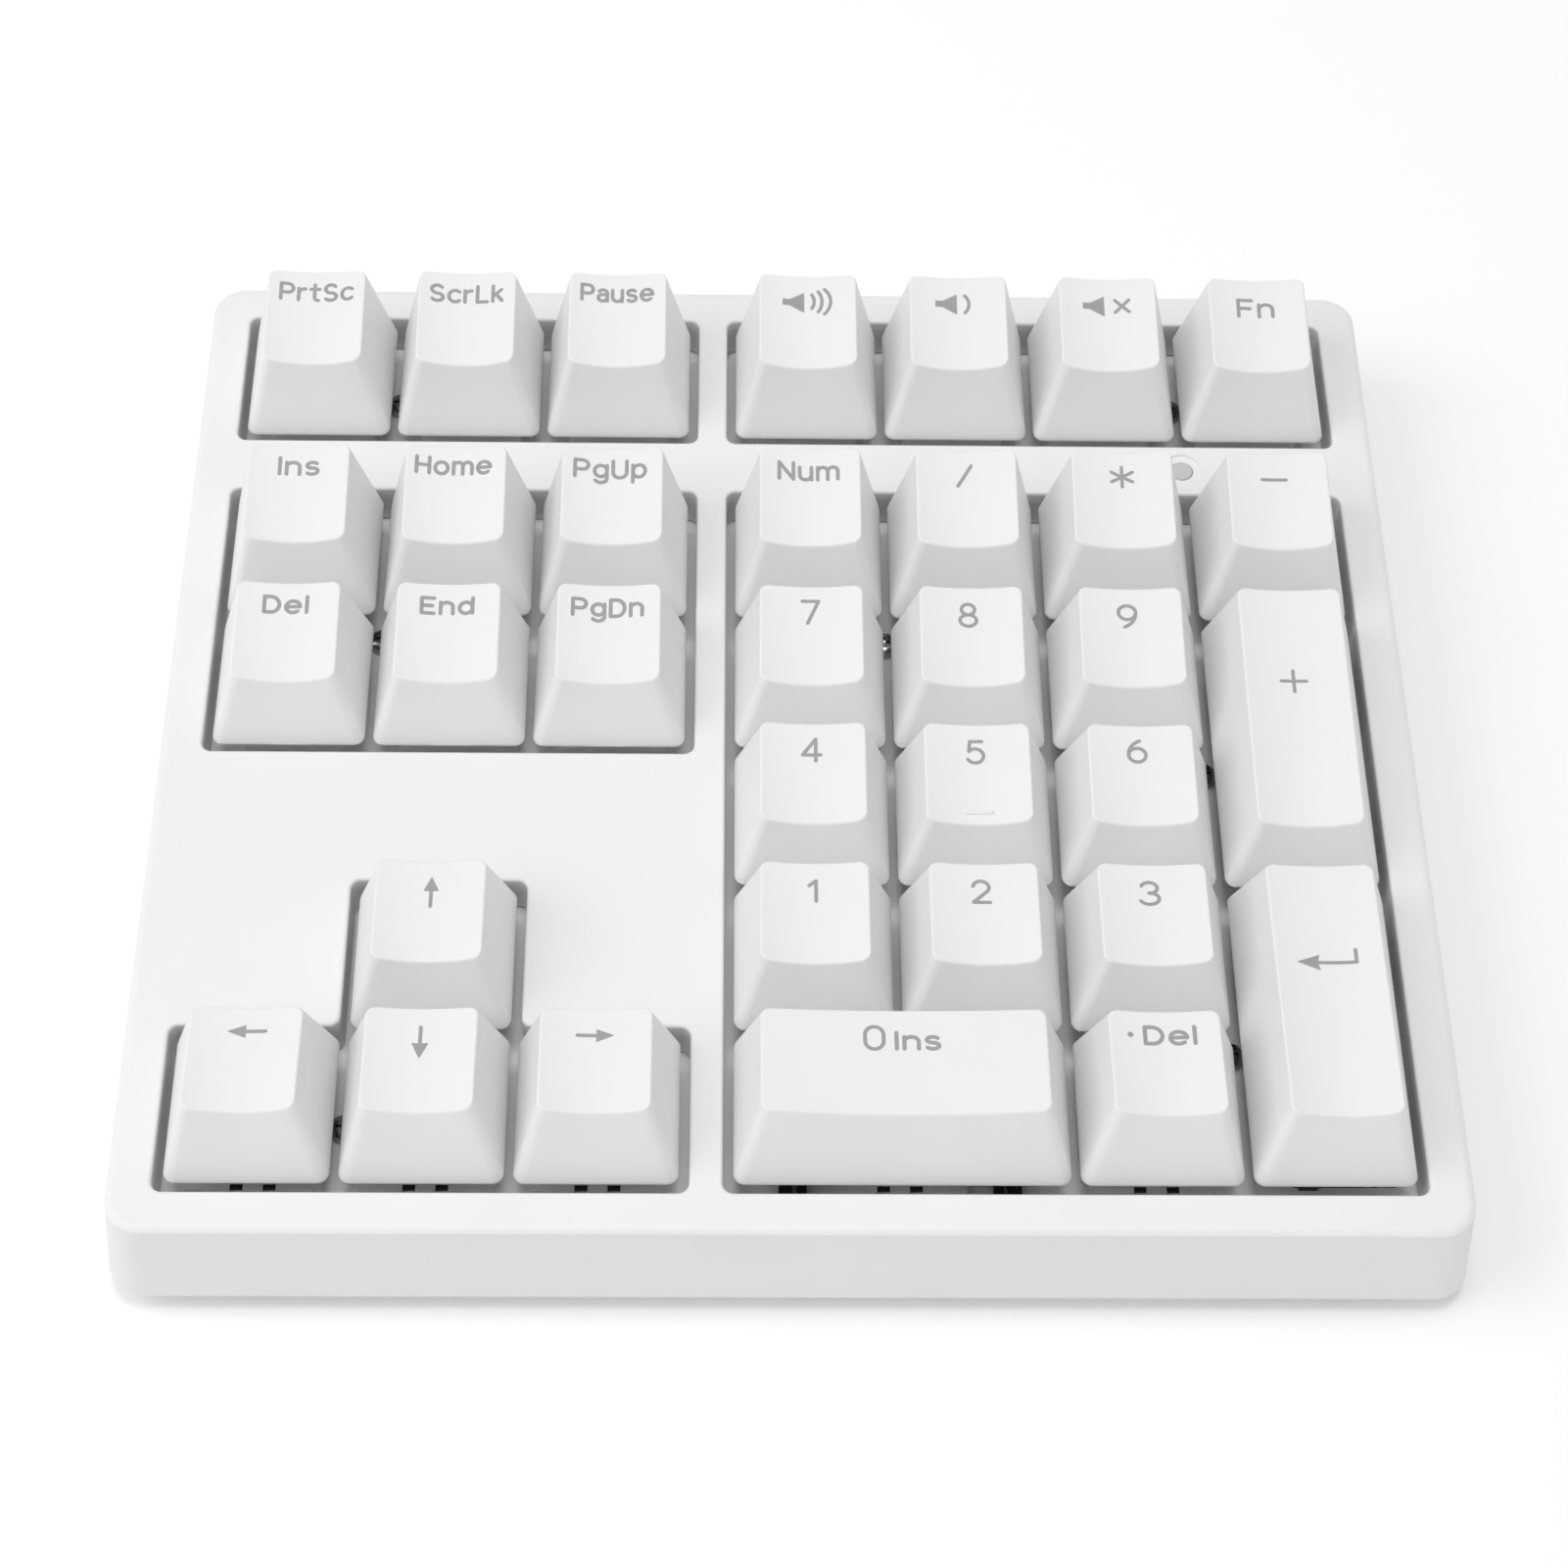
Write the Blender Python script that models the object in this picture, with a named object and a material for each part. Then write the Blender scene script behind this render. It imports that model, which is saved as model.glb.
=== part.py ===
"""Mechanical numeric keypad with a navigation and arrow cluster, modelled as its separate pieces.

Units are metres, +Z is up, +X is right and +Y points to the rear edge. The origin is on the table,
under the middle of the case. The key grid is laid out from its front left corner and then centred.
"""

import math

import bmesh
import bpy
from mathutils import Matrix, Vector

# Key grid
PITCH = 0.01905
CLUSTER_GAP = 0.0050
ROW_GAP = 0.0091
GRID_WIDTH = 7 * PITCH + CLUSTER_GAP
GRID_DEPTH = 6 * PITCH + ROW_GAP
PAD_START = 3 * PITCH + CLUSTER_GAP

# Case
CLEARANCE = 0.0003
BORDER = 0.0055
CASE_CORNER = 0.0040
CASE_FILLET = 0.0010
WALL = 0.0020
CASE_BOTTOM = 0.0010
CASE_TOP = 0.0170
SKIRT_BOTTOM = 0.0028
SKIRT_FLARE = 0.0015
WINDOW_MARGIN = 0.00065
WINDOW_CORNER = 0.0012
SKIN_THICKNESS = 0.0022
RIB = 0.0016
FLOOR_THICKNESS = 0.0015
LIP_WALL = 0.0012
LENS_POCKET_GAP = 0.0076
CORNER_STEPS = 3
OUTER_STEPS = 4
SMALL_STEPS = 2
SHARP_ANGLE = math.radians(35)

# Plate and board, measured down from the case top as a key switch needs them
PLATE_TOP = CASE_TOP - 0.0063
PLATE_THICKNESS = 0.0015
PLATE_MARGIN = 0.0026
PLATE_CORNER = 0.0020
BOARD_TOP = PLATE_TOP - 0.0050
BOARD_THICKNESS = 0.0016
BOARD_MARGIN = 0.0015
BOARD_CORNER = 0.0020
PLATE_HOLE = 0.0140

# Switches
HOUSING_BODY = 0.0134
HOUSING_FLANGE = 0.0150
HOUSING_FLANGE_HEIGHT = 0.0008
HOUSING_HEAD = 0.0106
HOUSING_TOP = PLATE_TOP + 0.0065
SLIDER_WELL = (0.0076, 0.0064)
SLIDER_SIZE = (0.0068, 0.0056)
SLIDER_BOTTOM = PLATE_TOP - 0.0001
SLIDER_TOP = PLATE_TOP + 0.0062
POST_RADIUS = 0.0027
ROOT_DEPTH = 0.0005

# Keycaps
KEY_TRAVEL = 0.0040
CAP_BOTTOM = CASE_TOP - 0.0007
CAP_GAP = 0.00095
CAP_TOP_WIDTH = 0.0122
CAP_CORNER = 0.0014
CAP_WALL = 0.0013
CAP_ROOF = 0.0016
DISH_FRONT = 0.0012
DISH_REAR = 0.0006

# Stabilisers under the two-unit keys
STABILISER_SPREAD = 0.0119
STABILISER_SLIDER = (0.0036, 0.0044)
STABILISER_SLIDER_BOTTOM = BOARD_TOP + KEY_TRAVEL + CLEARANCE
BRACKET_FACE = 0.0085
BRACKET_REACH = 0.0135
BRACKET_HALF_WIDTH = 0.0035
BRACKET_WALL = 0.0010
BRACKET_TOP = PLATE_TOP + 0.0047
STABILISER_HOLE_X = (0.0080, 0.0160)
STABILISER_HOLE_Y = (-0.0040, 0.0082)
WIRE_RADIUS = 0.0007
WIRE_BEND = 0.0010
WIRE_AXIS_OFFSET = 0.0087
WIRE_AXIS_HEIGHT = BOARD_TOP + 0.0019
WIRE_ARM = 0.0091
WIRE_ARM_SIDE = 0.0147
WIRE_PIN_END = 0.0101
PIN_LAG = 0.0001

# Fasteners
SCREW_HEAD_RADIUS = 0.0016
SCREW_HEAD_HEIGHT = 0.0012
SCREW_SHAFT_RADIUS = 0.00085
SCREW_BORE_RADIUS = 0.00115
SCREW_CHAMFER = 0.0003
PLATE_SCREW_TIP = 0.0050
CASE_SCREW_SEAT = CASE_BOTTOM + CLEARANCE + 0.0010
CASE_SCREW_TIP = 0.0115
PILLAR_RADIUS = 0.0022
PILLAR_TOP = PLATE_TOP - PLATE_THICKNESS - CLEARANCE
BOSS_RADIUS = 0.0018
PAD_RADIUS = 0.0032
PAD_TOP = BOARD_TOP - BOARD_THICKNESS - 0.0004

# USB-C receptacle, indicator and feet
PORT_WIDTH = 0.0089
PORT_HEIGHT = 0.0032
PORT_LENGTH = 0.00735
PORT_SHELL = 0.0003
PORT_DEPTH = 0.0060
PORT_TONGUE = (0.0067, 0.0007)
PORT_TONGUE_LENGTH = 0.0045
PORT_RECESS = 0.0005
PORT_PLAY = 0.0007
ROUND_END_FLAT = 0.0002
PORT_CENTRE_HEIGHT = BOARD_TOP + 0.0009
PORT_X = 3 * PITCH + CLUSTER_GAP / 2 - GRID_WIDTH / 2
LENS_RADIUS = 0.0014
LENS_FLANGE_RADIUS = 0.0020
LENS_SINK = 0.0001
FOOT_SIZE = (0.0180, 0.0080)
FOOT_CORNER = 0.0030
FOOT_RECESS = 0.0006
FOOT_PLACES = [(-0.057, -0.0575), (0.057, -0.0575), (-0.057, 0.0585), (0.057, 0.0585)]
FLIP_SIZE = (0.0244, 0.0144)
FLIP_THICKNESS = 0.0016
FLIP_PIN_RADIUS = 0.00055
FLIP_PIN_LENGTH = 0.0013
FLIP_BLOCK_WALL = 0.0020
FLIP_HINGE = (0.052, 0.0469, 0.0019)

FRONT_HEIGHT, BACK_HEIGHT, FRONT_INSET, BACK_INSET = range(4)
# For each row, rear row first: heights of the top's front and rear edges above the cap's rim, and how
# far those edges stand in from the rim.
ROW_PROFILE = [
    (0.0110, 0.0127, 0.0035, 0.0013),
    (0.0111, 0.0128, 0.0037, 0.0014),
    (0.0092, 0.0106, 0.0037, 0.0015),
    (0.0089, 0.0096, 0.0037, 0.0015),
    (0.0100, 0.0096, 0.0038, 0.0014),
    (0.0106, 0.0098, 0.0040, 0.0013),
]

NAV, PAD = 0.0, PAD_START
# Name, cluster, first column, rear row, columns covered, rows covered
KEYS = [
    ("print_screen", NAV, 0, 0, 1, 1),
    ("scroll_lock", NAV, 1, 0, 1, 1),
    ("pause", NAV, 2, 0, 1, 1),
    ("volume_up", PAD, 0, 0, 1, 1),
    ("volume_down", PAD, 1, 0, 1, 1),
    ("mute", PAD, 2, 0, 1, 1),
    ("fn", PAD, 3, 0, 1, 1),
    ("insert", NAV, 0, 1, 1, 1),
    ("home", NAV, 1, 1, 1, 1),
    ("page_up", NAV, 2, 1, 1, 1),
    ("num_lock", PAD, 0, 1, 1, 1),
    ("divide", PAD, 1, 1, 1, 1),
    ("multiply", PAD, 2, 1, 1, 1),
    ("subtract", PAD, 3, 1, 1, 1),
    ("delete", NAV, 0, 2, 1, 1),
    ("end", NAV, 1, 2, 1, 1),
    ("page_down", NAV, 2, 2, 1, 1),
    ("seven", PAD, 0, 2, 1, 1),
    ("eight", PAD, 1, 2, 1, 1),
    ("nine", PAD, 2, 2, 1, 1),
    ("add", PAD, 3, 2, 1, 2),
    ("four", PAD, 0, 3, 1, 1),
    ("five", PAD, 1, 3, 1, 1),
    ("six", PAD, 2, 3, 1, 1),
    ("arrow_up", NAV, 1, 4, 1, 1),
    ("one", PAD, 0, 4, 1, 1),
    ("two", PAD, 1, 4, 1, 1),
    ("three", PAD, 2, 4, 1, 1),
    ("enter", PAD, 3, 4, 1, 2),
    ("arrow_left", NAV, 0, 5, 1, 1),
    ("arrow_down", NAV, 1, 5, 1, 1),
    ("arrow_right", NAV, 2, 5, 1, 1),
    ("zero", PAD, 0, 5, 2, 1),
    ("decimal", PAD, 2, 5, 1, 1),
]


def row_front(row):
    """Grid y of a row's front edge. Row 0 is the rear row, set apart by the row gap."""
    return (5 - row) * PITCH + (ROW_GAP if row == 0 else 0.0)


def placed(x, y):
    """A point of the key grid in the part's centred frame."""
    return x - GRID_WIDTH / 2, y - GRID_DEPTH / 2


def key_centre(cluster, column, row, columns, rows):
    front = row_front(row + rows - 1)
    return placed(cluster + (column + columns / 2) * PITCH, front + rows * PITCH / 2)


PLATE_SCREWS = [
    placed(PITCH, row_front(0) + PITCH / 2),
    placed(PAD_START + 3 * PITCH, row_front(0) + PITCH / 2),
    placed(PITCH, 4 * PITCH),
    placed(PAD_START + PITCH, 4 * PITCH),
    placed(PAD_START + 3 * PITCH, 3 * PITCH),
    placed(PAD_START + 3 * PITCH, PITCH),
    placed(PITCH, PITCH / 2),
]
ROW_GAP_CENTRE = 5 * PITCH + ROW_GAP / 2
CASE_SCREWS = [
    placed(2.5 * PITCH, ROW_GAP_CENTRE),
    placed(PAD_START + 1.5 * PITCH, ROW_GAP_CENTRE),
    placed(0.5 * PITCH, 2.5 * PITCH),
    placed(3 * PITCH + CLUSTER_GAP / 2, PITCH / 2),
]
LENS_PLACE = placed(PAD_START + 3 * PITCH, ROW_GAP_CENTRE)


# ---------------------------------------------------------------- scene and shape helpers


def clear_scene():
    for obj in list(bpy.data.objects):
        bpy.data.objects.remove(obj, do_unlink=True)


def plastic_or_metal(name, colour, roughness, metallic=0.0):
    material = bpy.data.materials.new(name)
    material.use_nodes = True
    shader = material.node_tree.nodes["Principled BSDF"]
    shader.inputs["Base Color"].default_value = (*colour, 1.0)
    shader.inputs["Roughness"].default_value = roughness
    shader.inputs["Metallic"].default_value = metallic
    return material


def add_object(name, bm, material=None, location=(0.0, 0.0, 0.0)):
    """Links the bmesh as an object, faces outward, smooth over rounded edges."""
    bmesh.ops.recalc_face_normals(bm, faces=bm.faces)
    mesh = bpy.data.meshes.new(name)
    bm.to_mesh(mesh)
    bm.free()
    mesh.shade_smooth()
    mesh.set_sharp_from_angle(angle=SHARP_ANGLE)
    obj = bpy.data.objects.new(name, mesh)
    obj.location = location
    if material:
        mesh.materials.append(material)
    bpy.context.scene.collection.objects.link(obj)
    return obj


def boolean(obj, operation, name, bm):
    """Adds or cuts a helper shape, which stays in the scene as a hidden guide."""
    helper = add_object(name, bm, location=obj.location)
    helper.hide_render = True
    helper.display_type = "WIRE"
    modifier = obj.modifiers.new(name, "BOOLEAN")
    modifier.operation = operation
    modifier.object = helper


def rounded_outline(corners, radius, steps=CORNER_STEPS):
    """The polygon with each corner turned by an arc, on convex and on concave corners alike."""
    outline = []
    for index, corner in enumerate(corners):
        here = Vector(corner)
        before = (Vector(corners[index - 1]) - here).normalized()
        after = (Vector(corners[(index + 1) % len(corners)]) - here).normalized()
        half = before.angle(after) / 2
        centre = here + (before + after).normalized() * radius / math.sin(half)
        start = here + before * radius / math.tan(half) - centre
        end = here + after * radius / math.tan(half) - centre
        for step in range(steps + 1):
            share = step / steps
            outline.append(centre + start.lerp(end, share).normalized() * radius)
    return [(point.x, point.y) for point in outline]


def rectangle(x_low, y_low, x_high, y_high):
    return [(x_low, y_low), (x_high, y_low), (x_high, y_high), (x_low, y_high)]


def centred(width, depth, x=0.0, y=0.0):
    return rectangle(x - width / 2, y - depth / 2, x + width / 2, y + depth / 2)


def circle(radius, x=0.0, y=0.0, sides=12):
    turns = [2 * math.pi * (side + 0.5) / sides for side in range(sides)]
    return [(x + radius * math.cos(turn), y + radius * math.sin(turn)) for turn in turns]


def grid_outline(margin, radius, steps=CORNER_STEPS):
    """Outline of the whole key grid, grown by a margin."""
    width = GRID_WIDTH + 2 * margin
    depth = GRID_DEPTH + 2 * margin
    return rounded_outline(centred(width, depth), radius, steps)


def level(outline, z):
    return [(x, y, z) for x, y in outline]


def stitch(bm, low, high):
    """Faces between two rings of points. Unequal rings are joined by their points' turn about the axis."""
    if len(low) == len(high):
        for i in range(len(low)):
            bm.faces.new((low[i - 1], low[i], high[i], high[i - 1]))
        return
    middle = sum((vert.co for vert in low), Vector()) / len(low)
    across, up = ring_axes(low)

    def turn(vert):
        arm = vert.co - middle
        return math.atan2(arm.dot(up), arm.dot(across)) % (2 * math.pi)

    low, high = (sorted(ring, key=turn) for ring in (low, high))
    i = j = 0
    while i < len(low) or j < len(high):
        next_low = turn(low[i]) if i < len(low) else math.inf
        next_high = turn(high[j]) if j < len(high) else math.inf
        if next_low <= next_high:
            bm.faces.new((low[i - 1], low[i], high[j - 1]))
            i += 1
        else:
            bm.faces.new((high[j - 1], low[i - 1], high[j]))
            j += 1


def ring_axes(ring):
    """Two axes in a flat ring's plane."""
    across = (ring[1].co - ring[0].co).normalized()
    normal = max((across.cross(vert.co - ring[0].co) for vert in ring), key=lambda cross: cross.length)
    return across, normal.normalized().cross(across)


def loft(bm, rings, first_faces=None):
    """Skins closed rings in order and caps both ends. Neighbouring rings may differ in point count.

    first_faces lists the corners of the first cap's faces, where one flat face won't do.
    """
    loops = [[bm.verts.new(point) for point in ring] for ring in rings]
    for low, high in zip(loops, loops[1:]):
        stitch(bm, low, high)
    for face in first_faces or [range(len(loops[0]))]:
        bm.faces.new([loops[0][index] for index in face])
    bm.faces.new(loops[-1])
    return bm


def prism(bm, outline, low, high):
    return loft(bm, [level(outline, low), level(outline, high)])


def prisms(outlines, low, high):
    bm = bmesh.new()
    for outline in outlines:
        prism(bm, outline, low, high)
    return bm


def turned(bm, profile, x=0.0, y=0.0, sides=12):
    """A turned solid from (radius, height) pairs, listed from its lower end to its upper end."""
    return loft(bm, [level(circle(radius, x, y, sides), z) for radius, z in profile])


# ---------------------------------------------------------------- case


def window_outlines():
    """The five openings of the top case: two key blocks at the rear, three at the front."""
    m = WINDOW_MARGIN
    rear = row_front(0)
    boxes = [
        rectangle(-m, rear - m, 3 * PITCH + m, rear + PITCH + m),
        rectangle(PAD_START - m, rear - m, GRID_WIDTH + m, rear + PITCH + m),
        rectangle(-m, 3 * PITCH - m, 3 * PITCH + m, 5 * PITCH + m),
        rectangle(PAD_START - m, -m, GRID_WIDTH + m, 5 * PITCH + m),
        [
            (-m, -m),
            (3 * PITCH + m, -m),
            (3 * PITCH + m, PITCH + m),
            (2 * PITCH + m, PITCH + m),
            (2 * PITCH + m, 2 * PITCH + m),
            (PITCH - m, 2 * PITCH + m),
            (PITCH - m, PITCH + m),
            (-m, PITCH + m),
        ],
    ]
    outlines = [[placed(*corner) for corner in box] for box in boxes]
    return [rounded_outline(outline, WINDOW_CORNER, SMALL_STEPS) for outline in outlines]


def pocket_outlines():
    """Hollows under the blank areas of the top case, each with a rib's width left around it."""
    e = WINDOW_MARGIN + RIB
    gap_front = 5 * PITCH + e
    gap_rear = row_front(0) - e
    screw_gap = RIB + BOSS_RADIUS
    lens_side = PAD_START + 3 * PITCH - LENS_POCKET_GAP
    boxes = [
        rectangle(e, 2 * PITCH + e, 3 * PITCH - e, 3 * PITCH - e),
        rectangle(e, PITCH + e, PITCH - e, 2 * PITCH + e - RIB),
        rectangle(2 * PITCH + e, PITCH + e, 3 * PITCH - e, 2 * PITCH + e - RIB),
        rectangle(e, gap_front, 2.5 * PITCH - screw_gap, gap_rear),
        rectangle(PAD_START + 1.5 * PITCH + screw_gap, gap_front, lens_side, gap_rear),
    ]
    return [[placed(*corner) for corner in box] for box in boxes]


def round_ended(width, height):
    """Outline of a slot with round ends."""
    return rounded_outline(centred(width, height), (height - ROUND_END_FLAT) / 2)


def wall_behind_port():
    """Y of the leaning rear wall's outer face at the height of the port."""
    lean = SKIRT_FLARE * (CASE_TOP - PORT_CENTRE_HEIGHT) / (CASE_TOP - SKIRT_BOTTOM)
    return GRID_DEPTH / 2 + BORDER + lean


def port_station(outline, y):
    """An outline set across the receptacle's axis at one depth."""
    return [(PORT_X + x, y, PORT_CENTRE_HEIGHT + z) for x, z in outline]


def top_case(material):
    """The upper shell: a skirt that widens downward, and a slab with five windows."""
    bm = bmesh.new()
    rings = [
        level(grid_outline(BORDER + SKIRT_FLARE, CASE_CORNER, OUTER_STEPS), SKIRT_BOTTOM),
        level(grid_outline(BORDER, CASE_CORNER, OUTER_STEPS), CASE_TOP - CASE_FILLET),
    ]
    for turn in (math.radians(45), math.radians(90)):
        inset = CASE_FILLET * (1 - math.cos(turn))
        outline = grid_outline(BORDER - inset, CASE_CORNER - inset, OUTER_STEPS)
        rings.append(level(outline, CASE_TOP - CASE_FILLET * (1 - math.sin(turn))))
    case = add_object("top_case", loft(bm, rings), material)
    under_slab = PLATE_TOP + CLEARANCE
    cavity = prism(bmesh.new(), grid_outline(BORDER - WALL, CASE_CORNER - WALL), 0.0, under_slab)
    boolean(case, "DIFFERENCE", "top_case_cavity", cavity)
    windows = prisms(window_outlines(), 0.0, CASE_TOP + WALL)
    boolean(case, "DIFFERENCE", "top_case_windows", windows)
    pockets = prisms(pocket_outlines(), 0.0, CASE_TOP - SKIN_THICKNESS)
    boolean(case, "DIFFERENCE", "top_case_pockets", pockets)
    boss_outlines = [circle(BOSS_RADIUS, x, y) for x, y in CASE_SCREWS]
    bosses = prisms(boss_outlines, PAD_TOP + CLEARANCE, CASE_TOP - CASE_FILLET)
    boolean(case, "UNION", "top_case_bosses", bosses)
    bore_outlines = [circle(SCREW_BORE_RADIUS, x, y, 8) for x, y in CASE_SCREWS]
    bores = prisms(bore_outlines, 0.0, CASE_SCREW_TIP + SCREW_SHAFT_RADIUS)
    boolean(case, "DIFFERENCE", "top_case_bores", bores)
    lens = bmesh.new()
    flange_top = CASE_TOP - SKIN_THICKNESS + CLEARANCE
    wide, narrow = LENS_FLANGE_RADIUS + CLEARANCE, LENS_RADIUS + CLEARANCE
    profile = [(wide, 0.0), (wide, flange_top), (narrow, flange_top), (narrow, CASE_TOP + WALL)]
    boolean(case, "DIFFERENCE", "top_case_lens_hole", turned(lens, profile, *LENS_PLACE))
    back = wall_behind_port()
    slot = round_ended(PORT_WIDTH + PORT_PLAY, PORT_HEIGHT + PORT_PLAY)
    slot_rings = [port_station(slot, y) for y in (back - 2 * WALL, back + WALL)]
    boolean(case, "DIFFERENCE", "top_case_port_slot", loft(bmesh.new(), slot_rings))
    return case


def flip_foot_centre(side):
    x, hinge_y, _ = FLIP_HINGE
    return side * x, hinge_y + FLIP_THICKNESS / 2 - FLIP_SIZE[1] / 2


def bottom_case(material):
    """The tray that closes the case from below and carries the plate on its pillars."""
    margin = BORDER - WALL - CLEARANCE
    floor_top = CASE_BOTTOM + FLOOR_THICKNESS
    bm = prism(bmesh.new(), grid_outline(margin, CASE_CORNER - WALL), CASE_BOTTOM, PILLAR_TOP)
    case = add_object("bottom_case", bm, material)
    inside = grid_outline(margin - LIP_WALL, CASE_CORNER - WALL - LIP_WALL / 2)
    boolean(case, "DIFFERENCE", "tray_inside", prism(bmesh.new(), inside, floor_top, CASE_TOP))
    add_tray_supports(case)
    cut_tray_recesses(case)
    return case


def add_tray_supports(case):
    root = CASE_BOTTOM + FLOOR_THICKNESS / 2
    supports = prisms([circle(PILLAR_RADIUS, x, y) for x, y in PLATE_SCREWS], root, PILLAR_TOP)
    for x, y in CASE_SCREWS:
        prism(supports, circle(PAD_RADIUS, x, y), root, PAD_TOP)
    for side in (-1, 1):
        block = [length + 2 * (CLEARANCE + FLIP_BLOCK_WALL) for length in FLIP_SIZE]
        prism(supports, centred(*block, *flip_foot_centre(side)), root, PAD_TOP)
    boolean(case, "UNION", "tray_supports", supports)


def cut_tray_recesses(case):
    bore_outlines = [circle(SCREW_BORE_RADIUS, x, y, 8) for x, y in PLATE_SCREWS]
    bores = prisms(bore_outlines, PLATE_SCREW_TIP - SCREW_SHAFT_RADIUS, CASE_TOP)
    narrow, wide = SCREW_BORE_RADIUS, SCREW_HEAD_RADIUS + CLEARANCE
    step = CASE_SCREW_SEAT + CLEARANCE
    for x, y in CASE_SCREWS:
        turned(bores, [(wide, 0.0), (wide, step), (narrow, step), (narrow, BOARD_TOP)], x, y)
    boolean(case, "DIFFERENCE", "tray_screw_holes", bores)
    recesses = bmesh.new()
    for x, y in FOOT_PLACES:
        recess = [length + 2 * CLEARANCE for length in FOOT_SIZE]
        outline = rounded_outline(centred(*recess, x, y), FOOT_CORNER, SMALL_STEPS)
        prism(recesses, outline, 0.0, CASE_BOTTOM + FOOT_RECESS)
    for side in (-1, 1):
        pocket = [length + 2 * CLEARANCE for length in FLIP_SIZE]
        pocket_top = FLIP_HINGE[2] + FLIP_THICKNESS / 2 + CLEARANCE
        prism(recesses, centred(*pocket, *flip_foot_centre(side)), 0.0, pocket_top)
    boolean(case, "DIFFERENCE", "tray_foot_recesses", recesses)
    pin_holes = bmesh.new()
    for side in (-1, 1):
        reach = FLIP_SIZE[0] / 2 + FLIP_PIN_LENGTH + CLEARANCE
        axle(pin_holes, FLIP_PIN_RADIUS + CLEARANCE, side * FLIP_HINGE[0], reach, FLIP_HINGE[1:])
    boolean(case, "DIFFERENCE", "tray_pin_holes", pin_holes)
    lip_outer = GRID_DEPTH / 2 + BORDER
    low = BOARD_TOP - BOARD_THICKNESS
    notch = centred(PORT_WIDTH + PORT_PLAY, 4 * LIP_WALL, PORT_X, lip_outer - WALL - LIP_WALL)
    boolean(case, "DIFFERENCE", "tray_port_notch", prism(bmesh.new(), notch, low, CASE_TOP))


def axle(bm, radius, x, reach, centre_yz):
    """A round bar along X, reaching equally to both sides of x."""
    y, z = centre_yz
    outline = circle(radius, y, z, 8)
    return loft(bm, [[(x + end, b, c) for b, c in outline] for end in (-reach, reach)])


# ---------------------------------------------------------------- plate and board


def two_unit_keys():
    """(name, centre, turn about Z) of each key on stabilisers; its long side is local X."""
    for name, *place in KEYS:
        if place[-2] * place[-1] == 2:
            yield name, key_centre(*place), 0.0 if place[-2] == 2 else -math.pi / 2


def turned_rectangle(centre, turn, x_low, y_low, x_high, y_high):
    spin = Matrix.Rotation(turn, 2)
    corners = [spin @ Vector(corner) for corner in rectangle(x_low, y_low, x_high, y_high)]
    return [(centre[0] + corner.x, centre[1] + corner.y) for corner in corners]


def switch_plate(material):
    """The metal plate that every switch is clipped into."""
    low = PLATE_TOP - PLATE_THICKNESS
    bm = prism(bmesh.new(), grid_outline(PLATE_MARGIN, PLATE_CORNER), low, PLATE_TOP)
    plate = add_object("switch_plate", bm, material)
    outlines = [centred(PLATE_HOLE, PLATE_HOLE, *key_centre(*place)) for _, *place in KEYS]
    outlines += [circle(SCREW_BORE_RADIUS, x, y, 8) for x, y in PLATE_SCREWS]
    outlines += [circle(BOSS_RADIUS + 2 * CLEARANCE, x, y, 8) for x, y in CASE_SCREWS]
    outlines.append(circle(LENS_RADIUS, *LENS_PLACE, 8))
    front, rear = STABILISER_HOLE_Y
    for _, centre, turn in two_unit_keys():
        for side in (-1, 1):
            near, far = sorted(side * end for end in STABILISER_HOLE_X)
            outlines.append(turned_rectangle(centre, turn, near, front, far, rear))
    boolean(plate, "DIFFERENCE", "plate_holes", prisms(outlines, 0.0, CASE_TOP))
    return plate


def switch_housing(bm, x, y):
    """One switch's housing: a body through the plate, a flange on it, and a head with the slider's well."""
    flange_low = PLATE_TOP + CLEARANCE
    sizes = [
        (HOUSING_BODY, HOUSING_BODY, BOARD_TOP - ROOT_DEPTH),
        (HOUSING_BODY, HOUSING_BODY, flange_low),
        (HOUSING_FLANGE, HOUSING_FLANGE, flange_low),
        (HOUSING_FLANGE, HOUSING_FLANGE, flange_low + HOUSING_FLANGE_HEIGHT),
        (HOUSING_HEAD, HOUSING_HEAD, HOUSING_TOP),
        (*SLIDER_WELL, HOUSING_TOP),
        (*SLIDER_WELL, BOARD_TOP + ROOT_DEPTH),
    ]
    return loft(bm, [level(centred(width, depth, x, y), z) for width, depth, z in sizes])


def stabiliser_bracket(bm, centre, turn, side):
    """A channel, open to the outside, that guides one stabiliser slider."""
    outer, wall = BRACKET_HALF_WIDTH, BRACKET_WALL
    channel = [
        (BRACKET_FACE, -outer),
        (BRACKET_REACH, -outer),
        (BRACKET_REACH, wall - outer),
        (BRACKET_FACE + wall, wall - outer),
        (BRACKET_FACE + wall, outer - wall),
        (BRACKET_REACH, outer - wall),
        (BRACKET_REACH, outer),
        (BRACKET_FACE, outer),
    ]
    spin = Matrix.Rotation(turn, 2)
    points = [spin @ Vector((side * x, y)) for x, y in channel]
    outline = [(centre[0] + point.x, centre[1] + point.y) for point in points]
    return prism(bm, outline, BOARD_TOP - ROOT_DEPTH, BRACKET_TOP)


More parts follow.
